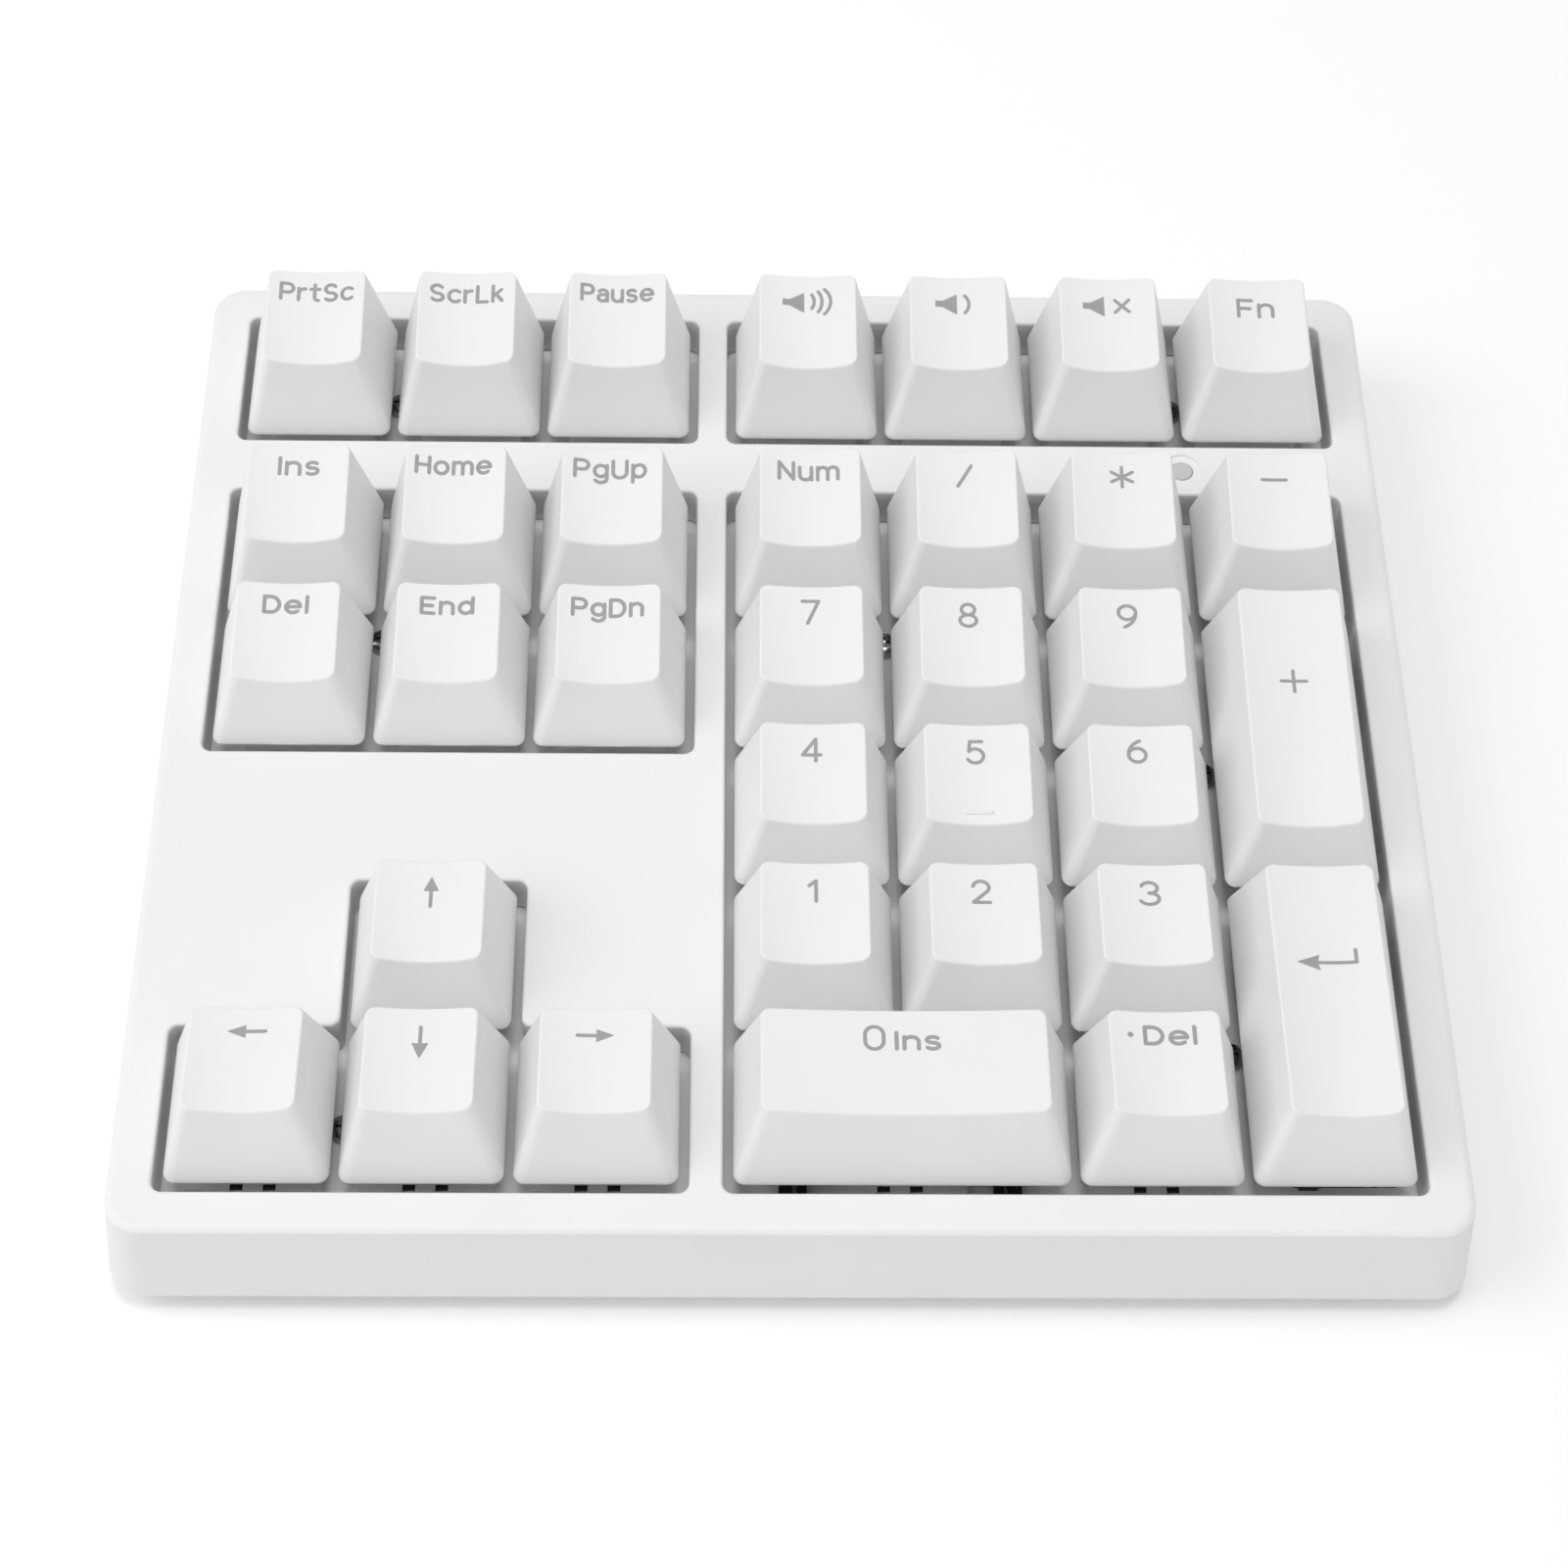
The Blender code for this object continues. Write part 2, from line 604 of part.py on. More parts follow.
def circuit_board(material):
    """The board with what is soldered or clipped to it: switch housings and stabiliser brackets."""
    low = BOARD_TOP - BOARD_THICKNESS
    bm = prism(bmesh.new(), grid_outline(BOARD_MARGIN, BOARD_CORNER), low, BOARD_TOP)
    board = add_object("circuit_board", bm, material)
    holes = [circle(PILLAR_RADIUS + CLEARANCE, x, y, 8) for x, y in PLATE_SCREWS]
    holes += [circle(BOSS_RADIUS + 2 * CLEARANCE, x, y, 8) for x, y in CASE_SCREWS]
    rear = wall_behind_port()
    notch_front = rear - PORT_RECESS - PORT_LENGTH - CLEARANCE
    half = PORT_WIDTH / 2 + CLEARANCE
    holes.append(rectangle(PORT_X - half, notch_front, PORT_X + half, rear))
    boolean(board, "DIFFERENCE", "board_holes", prisms(holes, 0.0, CASE_TOP))
    fitted = bmesh.new()
    for _, *place in KEYS:
        switch_housing(fitted, *key_centre(*place))
    for _, centre, turn in two_unit_keys():
        for side in (-1, 1):
            stabiliser_bracket(fitted, centre, turn, side)
    boolean(board, "UNION", "board_fitted_parts", fitted)
    return board


# ---------------------------------------------------------------- keys


TOP_STRIPS = [(0, 1, 10, 11), (1, 2, 9, 10), (2, 3, 8, 9), (3, 4, 7, 8), (4, 5, 6, 7), (11, 12, 13, 0)]


def cap_ring(width, depth, z_front, z_rear, dishes=(0.0, 0.0), shift=0.0):
    """A chamfered outline with five points along its front and rear edges, sunk in the middle by dishes."""
    half_w, half_d = width / 2, depth / 2
    inner, side = half_w - CAP_CORNER, half_d - CAP_CORNER
    across = [-inner, -inner / 2, 0.0, inner / 2, inner]
    points = [(x, -half_d) for x in across] + [(half_w, -side), (half_w, side)]
    points += [(x, half_d) for x in reversed(across)] + [(-half_w, side), (-half_w, -side)]
    ring = []
    for x, y in points:
        share = (y + half_d) / depth
        height = z_front + (z_rear - z_front) * share
        dish = dishes[0] + (dishes[1] - dishes[0]) * share
        ring.append((x, y + shift, height - dish * (1 - (x / half_w) ** 2)))
    return ring


def key_body(columns, rows, front_row):
    """A hollow cap with its post and its switch slider, standing on the origin at the cap's rim."""
    width, depth = columns * PITCH - CAP_GAP, rows * PITCH - CAP_GAP
    front, rear = ROW_PROFILE[front_row], ROW_PROFILE[front_row - rows + 1]
    top_width = width - (PITCH - CAP_GAP - CAP_TOP_WIDTH)
    top_depth = depth - front[FRONT_INSET] - rear[BACK_INSET]
    shift = (front[FRONT_INSET] - rear[BACK_INSET]) / 2
    dishes = (DISH_FRONT, DISH_REAR)
    roof = cap_roof(front, rear)
    inside = centred(width - 2 * CAP_WALL, depth - 2 * CAP_WALL)
    roof_inside = centred(top_width - CAP_WALL, top_depth - CAP_WALL, 0.0, shift)
    rings = [
        cap_ring(top_width, top_depth, front[FRONT_HEIGHT], rear[BACK_HEIGHT], dishes, shift),
        cap_ring(width, depth, 0.0, 0.0),
        level(inside, 0.0),
        level(roof_inside, roof),
        level(circle(POST_RADIUS, sides=8), roof),
        level(circle(POST_RADIUS, sides=8), SLIDER_TOP - CAP_BOTTOM),
        level(centred(*SLIDER_SIZE), SLIDER_TOP - CAP_BOTTOM),
        level(centred(*SLIDER_SIZE), SLIDER_BOTTOM - CAP_BOTTOM),
    ]
    return loft(bmesh.new(), rings, TOP_STRIPS)


def cap_roof(front, rear):
    return min(front[FRONT_HEIGHT], rear[BACK_HEIGHT]) - DISH_FRONT - CAP_ROOF


def add_stabiliser_sliders(key, turn, roof):
    """The guides under the ends of a long cap, each with a slot for the wire's pin."""
    half_w, half_d = (length / 2 for length in STABILISER_SLIDER)
    low = STABILISER_SLIDER_BOTTOM - CAP_BOTTOM
    pin = WIRE_AXIS_HEIGHT + KEY_TRAVEL - CAP_BOTTOM
    play = WIRE_RADIUS + CLEARANCE
    pin_rest = WIRE_AXIS_OFFSET - math.sqrt(WIRE_ARM**2 - KEY_TRAVEL**2)
    pin_pressed = WIRE_AXIS_OFFSET - WIRE_ARM
    guides, slots = bmesh.new(), bmesh.new()
    for side in (-1, 1):
        near, far = sorted((side * (STABILISER_SPREAD - half_w), side * (STABILISER_SPREAD + half_w)))
        guide = turned_rectangle((0.0, 0.0), turn, near, -half_d, far, half_d)
        prism(guides, guide, low, roof + CAP_ROOF / 2)
        ends = (near - half_w, far + half_w)
        slot = turned_rectangle((0.0, 0.0), turn, ends[0], pin_pressed - play, ends[1], pin_rest + play)
        prism(slots, slot, pin - play - PIN_LAG, pin + play)
    boolean(key, "UNION", f"{key.name}_guides", guides)
    boolean(key, "DIFFERENCE", f"{key.name}_slots", slots)


def stabiliser_wire(name, centre, turn, material):
    """A wire turning on its long run, whose two pins lift and sink with the cap. Origin on that run."""
    tip_y = -math.sqrt(WIRE_ARM**2 - KEY_TRAVEL**2)
    corners = [
        Vector((-WIRE_PIN_END, tip_y, KEY_TRAVEL)),
        Vector((-WIRE_ARM_SIDE, tip_y, KEY_TRAVEL)),
        Vector((-WIRE_ARM_SIDE, 0.0, 0.0)),
        Vector((WIRE_ARM_SIDE, 0.0, 0.0)),
        Vector((WIRE_ARM_SIDE, tip_y, KEY_TRAVEL)),
        Vector((WIRE_PIN_END, tip_y, KEY_TRAVEL)),
    ]
    points = [corners[0]]
    for before, here, after in zip(corners, corners[1:], corners[2:]):
        start = here + (before - here).normalized() * WIRE_BEND
        end = here + (after - here).normalized() * WIRE_BEND
        points += [start.lerp(here, t).lerp(here.lerp(end, t), t) for t in (0.0, 0.5, 1.0)]
    points.append(corners[-1])
    curve = bpy.data.curves.new(name, "CURVE")
    curve.dimensions = "3D"
    curve.bevel_depth = WIRE_RADIUS
    curve.bevel_resolution = 1
    curve.use_fill_caps = True
    curve.materials.append(material)
    spline = curve.splines.new("POLY")
    spline.points.add(len(points) - 1)
    for target, point in zip(spline.points, points):
        target.co = (*point, 1.0)
    wire = bpy.data.objects.new(name, curve)
    offset = Matrix.Rotation(turn, 3, "Z") @ Vector((0.0, WIRE_AXIS_OFFSET, 0.0))
    wire.location = (centre[0] + offset.x, centre[1] + offset.y, WIRE_AXIS_HEIGHT)
    wire.rotation_euler.z = turn
    bpy.context.scene.collection.objects.link(wire)


def keys(material):
    """Every key, each with its origin at the middle of its cap's rim, on its line of travel."""
    for name, cluster, column, row, columns, rows in KEYS:
        centre = key_centre(cluster, column, row, columns, rows)
        front_row = row + rows - 1
        bm = key_body(columns, rows, front_row)
        key = add_object(f"key_{name}", bm, material, (*centre, CAP_BOTTOM))
        if columns * rows == 2:
            roof = cap_roof(ROW_PROFILE[front_row], ROW_PROFILE[row])
            turn = 0.0 if columns == 2 else -math.pi / 2
            add_stabiliser_sliders(key, turn, roof)


# ---------------------------------------------------------------- small parts


def screws(material):
    """Plate screws stand head up on the plate. Case screws go up into the top case's bosses."""
    head, shaft, chamfer = SCREW_HEAD_RADIUS, SCREW_SHAFT_RADIUS, SCREW_CHAMFER
    seat = PLATE_TOP + CLEARANCE
    crown = seat + SCREW_HEAD_HEIGHT
    plate_profile = [
        (shaft, PLATE_SCREW_TIP),
        (shaft, seat),
        (head, seat),
        (head, crown - chamfer),
        (head - chamfer, crown),
    ]
    for number, (x, y) in enumerate(PLATE_SCREWS, 1):
        add_object(f"plate_screw_{number}", turned(bmesh.new(), plate_profile, x, y), material)
    low = CASE_BOTTOM + CLEARANCE
    case_profile = [
        (head - chamfer, low),
        (head, low + chamfer),
        (head, CASE_SCREW_SEAT),
        (shaft, CASE_SCREW_SEAT),
        (shaft, CASE_SCREW_TIP),
    ]
    for number, (x, y) in enumerate(CASE_SCREWS, 1):
        add_object(f"case_screw_{number}", turned(bmesh.new(), case_profile, x, y), material)


def indicator_lens(material):
    """A light pipe held by its flange under the top case's skin."""
    flange_top = CASE_TOP - SKIN_THICKNESS
    profile = [
        (LENS_FLANGE_RADIUS, PLATE_TOP + 2 * CLEARANCE),
        (LENS_FLANGE_RADIUS, flange_top),
        (LENS_RADIUS, flange_top),
        (LENS_RADIUS, CASE_TOP - LENS_SINK),
    ]
    add_object("indicator_lens", turned(bmesh.new(), profile, *LENS_PLACE, sides=16), material)


def usb_c_port(material):
    """The receptacle: a shell with a round-ended mouth and a tongue inside it."""
    mouth = wall_behind_port() - PORT_RECESS
    rear = mouth - PORT_LENGTH
    inner = (PORT_WIDTH - 2 * PORT_SHELL, PORT_HEIGHT - 2 * PORT_SHELL)
    outer_ring, inner_ring = round_ended(PORT_WIDTH, PORT_HEIGHT), round_ended(*inner)
    tongue = centred(*PORT_TONGUE)
    stations = [
        (outer_ring, rear),
        (outer_ring, mouth),
        (inner_ring, mouth),
        (inner_ring, mouth - PORT_DEPTH),
        (tongue, mouth - PORT_DEPTH),
        (tongue, mouth - PORT_DEPTH + PORT_TONGUE_LENGTH),
    ]
    rings = [port_station(outline, y) for outline, y in stations]
    add_object("usb_c_port", loft(bmesh.new(), rings), material)


def rubber_feet(material):
    names = ["front_left", "front_right", "rear_left", "rear_right"]
    for name, (x, y) in zip(names, FOOT_PLACES):
        outline = rounded_outline(centred(*FOOT_SIZE, x, y), FOOT_CORNER - CLEARANCE, SMALL_STEPS)
        bm = prism(bmesh.new(), outline, 0.0, CASE_BOTTOM + FOOT_RECESS - CLEARANCE)
        add_object(f"rubber_foot_{name}", bm, material)


def flip_feet(material):
    """Fold-out feet with their origins on the hinge line, lying flat in the tray's pockets."""
    width, depth = FLIP_SIZE
    half = FLIP_THICKNESS / 2
    turns = [math.radians(90 - 45 * step) for step in range(5)]
    side_view = [(half * math.cos(turn), half * math.sin(turn)) for turn in turns]
    side_view += [(half - depth, -half), (half - depth, half)]
    for name, side in (("left", -1), ("right", 1)):
        bm = loft(bmesh.new(), [[(x, y, z) for y, z in side_view] for x in (-width / 2, width / 2)])
        x, y, z = FLIP_HINGE
        foot = add_object(f"flip_foot_{name}", bm, material, (side * x, y, z))
        pin = axle(bmesh.new(), FLIP_PIN_RADIUS, 0.0, width / 2 + FLIP_PIN_LENGTH - CLEARANCE, (0.0, 0.0))
        boolean(foot, "UNION", f"flip_pin_{name}", pin)


def build():
    clear_scene()
    case_plastic = plastic_or_metal("case_plastic", (0.88, 0.88, 0.88), 0.5)
    key_plastic = plastic_or_metal("key_plastic", (0.90, 0.90, 0.90), 0.45)
    plate_paint = plastic_or_metal("plate_paint", (0.80, 0.80, 0.80), 0.4, 0.2)
    board_resin = plastic_or_metal("board_resin", (0.04, 0.05, 0.05), 0.5)
    steel = plastic_or_metal("steel", (0.55, 0.55, 0.56), 0.3, 1.0)
    black_steel = plastic_or_metal("black_steel", (0.06, 0.06, 0.07), 0.35, 0.9)
    rubber = plastic_or_metal("rubber", (0.35, 0.35, 0.35), 0.8)
    lens_plastic = plastic_or_metal("lens_plastic", (0.82, 0.82, 0.82), 0.2)
    top_case(case_plastic)
    bottom_case(case_plastic)
    switch_plate(plate_paint)
    circuit_board(board_resin)
    keys(key_plastic)
    for name, centre, turn in two_unit_keys():
        stabiliser_wire(f"stabiliser_wire_{name}", centre, turn, steel)
    screws(black_steel)
    indicator_lens(lens_plastic)
    usb_c_port(steel)
    rubber_feet(rubber)
    flip_feet(case_plastic)


build()
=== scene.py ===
"""The finished look of a white 34-key keypad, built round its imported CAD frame.

Lengths are in metres, except in the tables that say millimetres. Positions come from the frame's boxes
and from the key grid's few driving dimensions. Every shape is made by mesh code, apart from the
stabiliser wires, which are the frame's own, and every material is made of nodes.
"""

import math

import bmesh
import bpy
from mathutils import Matrix, Vector
from mathutils.geometry import delaunay_2d_cdt


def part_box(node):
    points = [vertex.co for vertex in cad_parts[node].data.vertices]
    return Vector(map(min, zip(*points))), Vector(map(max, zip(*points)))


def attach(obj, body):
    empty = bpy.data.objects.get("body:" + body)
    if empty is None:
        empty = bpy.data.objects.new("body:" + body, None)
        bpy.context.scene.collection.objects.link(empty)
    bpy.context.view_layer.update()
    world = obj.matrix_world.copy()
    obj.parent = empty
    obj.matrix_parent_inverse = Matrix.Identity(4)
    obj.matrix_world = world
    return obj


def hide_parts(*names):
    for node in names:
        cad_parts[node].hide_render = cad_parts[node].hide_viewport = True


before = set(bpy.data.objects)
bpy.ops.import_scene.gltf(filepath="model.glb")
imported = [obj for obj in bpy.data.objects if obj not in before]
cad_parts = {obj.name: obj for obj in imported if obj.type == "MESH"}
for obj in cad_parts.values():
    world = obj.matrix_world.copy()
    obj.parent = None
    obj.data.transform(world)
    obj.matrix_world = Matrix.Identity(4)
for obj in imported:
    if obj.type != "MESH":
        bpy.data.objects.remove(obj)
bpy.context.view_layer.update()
MM = 0.001
SMOOTH_ANGLE = math.radians(40)

# Key grid
PITCH = 19.05 * MM
CLUSTER_GAP = 5.0 * MM
ROW_GAP = 9.1 * MM
GRID_WIDTH = 7 * PITCH + CLUSTER_GAP
GRID_DEPTH = 6 * PITCH + ROW_GAP
PAD_START = 3 * PITCH + CLUSTER_GAP
REAR_ROW = 5 * PITCH + ROW_GAP
KEY_NODES = sorted(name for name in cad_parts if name.startswith("key_"))
LONG_KEYS = ("key_zero", "key_add", "key_enter")

# Case
CASE_LOW, CASE_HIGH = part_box("top_case")
BORDER = 5.5 * MM
FLARE = CASE_HIGH.x - GRID_WIDTH / 2 - BORDER
CASE_CORNER = 4.0 * MM
ROLL_RADIUS = 1.5 * MM
ROLL_TURN = math.radians(42)
BASE_FILLET = 0.35 * MM
WALL = 2.0 * MM
WINDOW_MARGIN = 0.65 * MM
WINDOW_CORNER = 1.2 * MM
WINDOW_FILLET = 0.45 * MM
CLEARANCE = 0.3 * MM
LIP_WALL = 1.2 * MM
FLOOR_THICKNESS = 1.5 * MM
TRAY_FILLET = 0.3 * MM
PILLAR_RADIUS = 2.2 * MM
SCREW_PAD_RADIUS = 3.2 * MM
PILOT_RADIUS = 1.15 * MM
HEAD_WELL_RADIUS = 1.95 * MM
HEAD_WELL_DEPTH = 2.6 * MM

# Feet. HOUSING_MARGIN is what the tray's housing for a fold-out foot adds to the foot's width and depth.
FOOT_PLAY = 0.6 * MM
HOUSING_MARGIN = (3.0 * MM, 4.6 * MM)
PIN_RADIUS = 0.55 * MM
PIN_HOLE = 0.85 * MM
PIN_END = 1.0 * MM
FINGER_NOTCH = (9.0 * MM, 3.0 * MM)
PAD_EDGE = 0.3 * MM

# Port
SLOT_PLAY = 0.7 * MM
SHELL_WALL = 0.3 * MM
MOUTH_EDGE = 0.1 * MM
MOUTH_DEPTH = 6.0 * MM
TONGUE = (6.7 * MM, 0.7 * MM)
TONGUE_TIP = (6.5 * MM, 0.4 * MM)

# Indicator. PIPE_WELL is the well's radius and its roof's depth under the case's top face.
PIPE_SIDES = 40
PIPE_FOOT = 2.0 * MM
PIPE_TIP = 1.4 * MM
PIPE_WELL = (2.1 * MM, 1.8 * MM)
PIPE_BORE = 1.46 * MM
RING_FOOT = 2.42 * MM
RING_RADIUS = 2.5 * MM
RING_DEPTH = 0.28 * MM

# Plate, board and switches. The frame's circuit_board is one solid with the switches on it.
PLATE_LOW, PLATE_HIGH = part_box("switch_plate")
PLATE_TOP = PLATE_HIGH.z
PLATE_CORNER = 2.0 * MM
SWITCH_HOLE = 14.0 * MM
SCREW_HOLE = 1.2 * MM
BOARD_LOW, SWITCH_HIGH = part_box("circuit_board")
BOARD_THICKNESS = 1.6 * MM
BOARD_TOP = BOARD_LOW.z + BOARD_THICKNESS
BOARD_MARGIN = 1.5 * MM
PILLAR_HOLE = 2.5 * MM
PAD_TOP = BOARD_LOW.z - 0.4 * MM
BOSS_RADIUS = 1.75 * MM
BOSS_HOLE = 1.85 * MM
BOSS_HOLE_IN_BOARD = 2.4 * MM
OVER_PLATE = PLATE_TOP + 0.02 * MM
FLANGE_SIZE = 15.0 * MM
FLANGE_HEIGHT = 0.8 * MM
NOTCH_DEPTH = 0.8 * MM
LATCH_SIZE = (14.6 * MM, 14.4 * MM)
SWITCH_BODY = 13.4 * MM
SWITCH_HEAD = 10.6 * MM
STEM_WELL = (7.6 * MM, 6.4 * MM)
STEM_SIZE = (6.8 * MM, 5.6 * MM)
STEM_LOW = PLATE_TOP - 0.1 * MM
STEM_HIGH = PLATE_TOP + 6.2 * MM
POST_RADIUS = 2.7 * MM

# Stabilisers. The lists are in millimetres along and across a long key: the guides' channel, and the
# (near, far, front, rear) of the plate's cut and of the clips that reach over the plate.
STABILISER_SPREAD = 11.9 * MM
SLIDER_HALF = 1.8 * MM
SLIDER_LOW = BOARD_TOP + 4.3 * MM
FORK_DEPTH = 2.9 * MM
PLATE_CUT = (8.0, 16.0, -4.0, 8.2)
GUIDE_HEIGHT = 4.7 * MM
GUIDE_CHANNEL = [(8.5, -3.5), (13.5, -3.5), (13.5, -2.5), (9.5, -2.5)]
GUIDE_CHANNEL += [(x, -y) for x, y in reversed(GUIDE_CHANNEL)]
CLIPS_IN_FRONT = [(10.4, 11.5, -8.8, -3.2), (12.0, 13.5, -8.8, -3.2)]
CLIPS_BESIDE = [(12.0, 16.4, -3.1, -1.0)]
CLIP_HEIGHT = 1.3 * MM

# Screws. The head's crown and its cross recess are in millimetres: (radius, drop), and the recess's
# (arm, half width, depth).
THREAD_PITCH = 0.4 * MM
THREAD_ROOT = 0.68 * MM
THREAD_CREST = 0.85 * MM
SHANK_RADIUS = 0.8 * MM
HEAD_RADIUS = 1.6 * MM
CROWN = [(1.5, 0.3), (1.3, 0.13), (1.0, 0.03), (0.92, 0.0)]
RECESS = [(0.82, 0.2, 0.0), (0.6, 0.14, 0.6)]

# Keycaps
TOP_BAND = 3.0 * MM
DISH_FRONT = 1.2 * MM
DISH_REAR = 0.6 * MM
RIM_CORNER = 1.3 * MM
TOP_CORNER = 1.1 * MM
TOP_FILLET = 0.24 * MM
RIM_EDGE = 0.2 * MM
CAP_WALL = 1.3 * MM
CAP_ROOF = 1.6 * MM
WALL_SHARES = (0.03, 0.3, 0.65, 0.97)
FILLET_SHARES = (0.0, 0.15, 0.3, 0.5, 0.7, 0.85, 1.0)
DISH_SCALES = (0.97, 0.8, 0.62, 0.44, 0.26, 0.08)
BAR_SIZE = (3.4 * MM, 0.62 * MM)
BAR_PLACE = 1.55 * MM
BAR_RISE = 0.22 * MM
BAR_CREST = 0.2 * MM
LEGEND_RISE = 0.02 * MM
LEGEND_ROOT = 0.06 * MM
STROKE_MM = 0.42
WORD_STROKE_MM = 0.46
FILL_EDGE_MM = 0.12

# Camera, in the frame of the object
CAMERA_PLACE = Vector((-7.905, -203.45, 320.21)) * MM
CAMERA_SWING = math.radians(2.131)
CAMERA_TILT = math.radians(32.615)
CAMERA_LENS = 69.90
CAMERA_SENSOR = 36.0

# Light: the world's strength, the floor's glow, and each lamp's place, width and power
WHITE = (1.0, 1.0, 1.0, 1.0)
WORLD_STRENGTH = 0.58
FLOOR_GLOW = 0.06
LAMPS = {
    "key_light": ((-0.7, -0.12, 0.75), 0.7, 3.2),
    "top_light": ((0.0, 0.0, 1.1), 0.35, 3.0),
}


# ---------------------------------------------------------------- outlines


def rounded(corners, radius, grow=0.0, steps=6, parts=1):
    """An anticlockwise polygon with round corners and its sides cut in parts. grow moves it outward."""
    arcs = []
    for index, corner in enumerate(corners):
        here = Vector(corner)
        before = (Vector(corners[index - 1]) - here).normalized()
        after = (Vector(corners[(index + 1) % len(corners)]) - here).normalized()
        half = before.angle(after) / 2
        centre = here + (before + after).normalized() * radius / math.sin(half)
        start = here + before * radius / math.tan(half) - centre
        end = here + after * radius / math.tan(half) - centre
        outward = 1 if before.cross(after) < 0 else -1
        reach = radius + outward * grow
        turns = [start.lerp(end, step / steps).normalized() * reach for step in range(steps + 1)]
        arcs.append([centre + turn for turn in turns])
    outline = []
    for arc, following in zip(arcs, arcs[1:] + arcs[:1]):
        outline += arc
        outline += [arc[-1].lerp(following[0], part / parts) for part in range(1, parts)]
    return [(point.x, point.y) for point in outline]


def rectangle(x_low, y_low, x_high, y_high):
    return [(x_low, y_low), (x_high, y_low), (x_high, y_high), (x_low, y_high)]


def centred(width, depth, x=0.0, y=0.0):
    return rectangle(x - width / 2, y - depth / 2, x + width / 2, y + depth / 2)


def circle(radius, x=0.0, y=0.0, sides=24):
    turns = [2 * math.pi * side / sides for side in range(sides)]
    return [(x + radius * math.cos(turn), y + radius * math.sin(turn)) for turn in turns]


def level(outline, z):
    return [(x, y, z) for x, y in outline]


def quarter_arc(radius, steps):
    """(inset, drop) pairs from the side face to the top face of a rounded edge."""
    turns = [math.pi / 2 * step / steps for step in range(steps + 1)]
    return [(radius * (1 - math.cos(turn)), radius * (1 - math.sin(turn))) for turn in turns]


def rolled_edge(steps):
    """(inset, drop) pairs of the case's top edge, which rolls off and ends in a crease on the wall."""
    r, reach = ROLL_RADIUS, math.sin(ROLL_TURN)
    turns = [ROLL_TURN * (1 - step / steps) for step in range(steps + 1)]
    return [(r * (reach - math.sin(turn)), r * (1 - math.cos(turn))) for turn in turns]


def case_outline(inset=0.0, lean=0.0):
    """The case's outline at its top face. lean moves the sides outward and leaves the corners' radius."""
    border = 2 * (BORDER + lean)
    return rounded(centred(GRID_WIDTH + border, GRID_DEPTH + border), CASE_CORNER, -inset, 10)


def placed(x, y):
    """A point of the key grid in the object's frame."""
    return x - GRID_WIDTH / 2, y - GRID_DEPTH / 2


def window_corners():
    m = WINDOW_MARGIN
    boxes = [
        rectangle(-m, REAR_ROW - m, 3 * PITCH + m, REAR_ROW + PITCH + m),
        rectangle(PAD_START - m, REAR_ROW - m, GRID_WIDTH + m, REAR_ROW + PITCH + m),
        rectangle(-m, 3 * PITCH - m, 3 * PITCH + m, 5 * PITCH + m),
        rectangle(PAD_START - m, -m, GRID_WIDTH + m, 5 * PITCH + m),
        [
            (-m, -m),
            (3 * PITCH + m, -m),
            (3 * PITCH + m, PITCH + m),
            (2 * PITCH + m, PITCH + m),
            (2 * PITCH + m, 2 * PITCH + m),
            (PITCH - m, 2 * PITCH + m),
            (PITCH - m, PITCH + m),
            (-m, PITCH + m),
        ],
    ]
    return [[placed(*corner) for corner in box] for box in boxes]


def key_place(node):
    low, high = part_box(node)
    return (low.x + high.x) / 2, (low.y + high.y) / 2


def box_centre(node):
    low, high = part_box(node)
    return (low + high) / 2


def places_of(start):
    """Node name to (x, y) of its middle, for the nodes whose names begin with start."""
    return {name: tuple(box_centre(name).xy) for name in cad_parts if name.startswith(start)}


def boxes_of(start):
    """(name, low, high, middle) of each node whose name begins with start, in the order of the names."""
    for name in sorted(places_of(start)):
        yield name, *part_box(name), box_centre(name)


# ---------------------------------------------------------------- meshes


def skin(bm, rings, close_start=True, close_end=True):
    """Joins rings of equal count in order, caps the ends and returns the rings' vertices."""
    loops = [[bm.verts.new(point) for point in ring] for ring in rings]
    for low, high in zip(loops, loops[1:]):
        for i in range(len(low)):
            bm.faces.new((low[i - 1], low[i], high[i], high[i - 1]))
    if close_start:
        bm.faces.new(loops[0])
    if close_end:
        bm.faces.new(loops[-1])
    return loops


def fill_between(bm, loops):
    """One flat face with holes: fills between an outer loop and the loops inside it."""
    edges = []
    for loop in loops:
        for i in range(len(loop)):
            edges.append(bm.edges.get((loop[i - 1], loop[i])) or bm.edges.new((loop[i - 1], loop[i])))
    bmesh.ops.triangle_fill(bm, use_beauty=True, use_dissolve=False, edges=edges)


def pierced_slab(outer, holes, low, high):
    """A flat slab with holes through it."""
    bm = bmesh.new()
    walls = []
    for outline in (outer, *holes):
        walls.append(skin(bm, [level(outline, low), level(outline, high)], False, False))
    fill_between(bm, [wall[0] for wall in walls])
    fill_between(bm, [wall[1] for wall in walls])
    return bm


def rounded_block(bm, width, depth, low, high, corner, edge, place=(0.0, 0.0), edge_low=0.0):
    """A block with round corners, a rounded upper edge and, with edge_low, a rounded lower one."""
    rings = []
    base = centred(width, depth, *place)
    if edge_low:
        for inset, drop in reversed(quarter_arc(edge_low, 4)):
            rings.append(level(rounded(base, corner, -inset, 6), low + drop))
    else:
        rings.append(level(rounded(base, corner, 0.0, 6), low))
    for inset, drop in quarter_arc(edge, 4):
        rings.append(level(rounded(base, corner, -inset, 6), high - drop))
    skin(bm, rings)


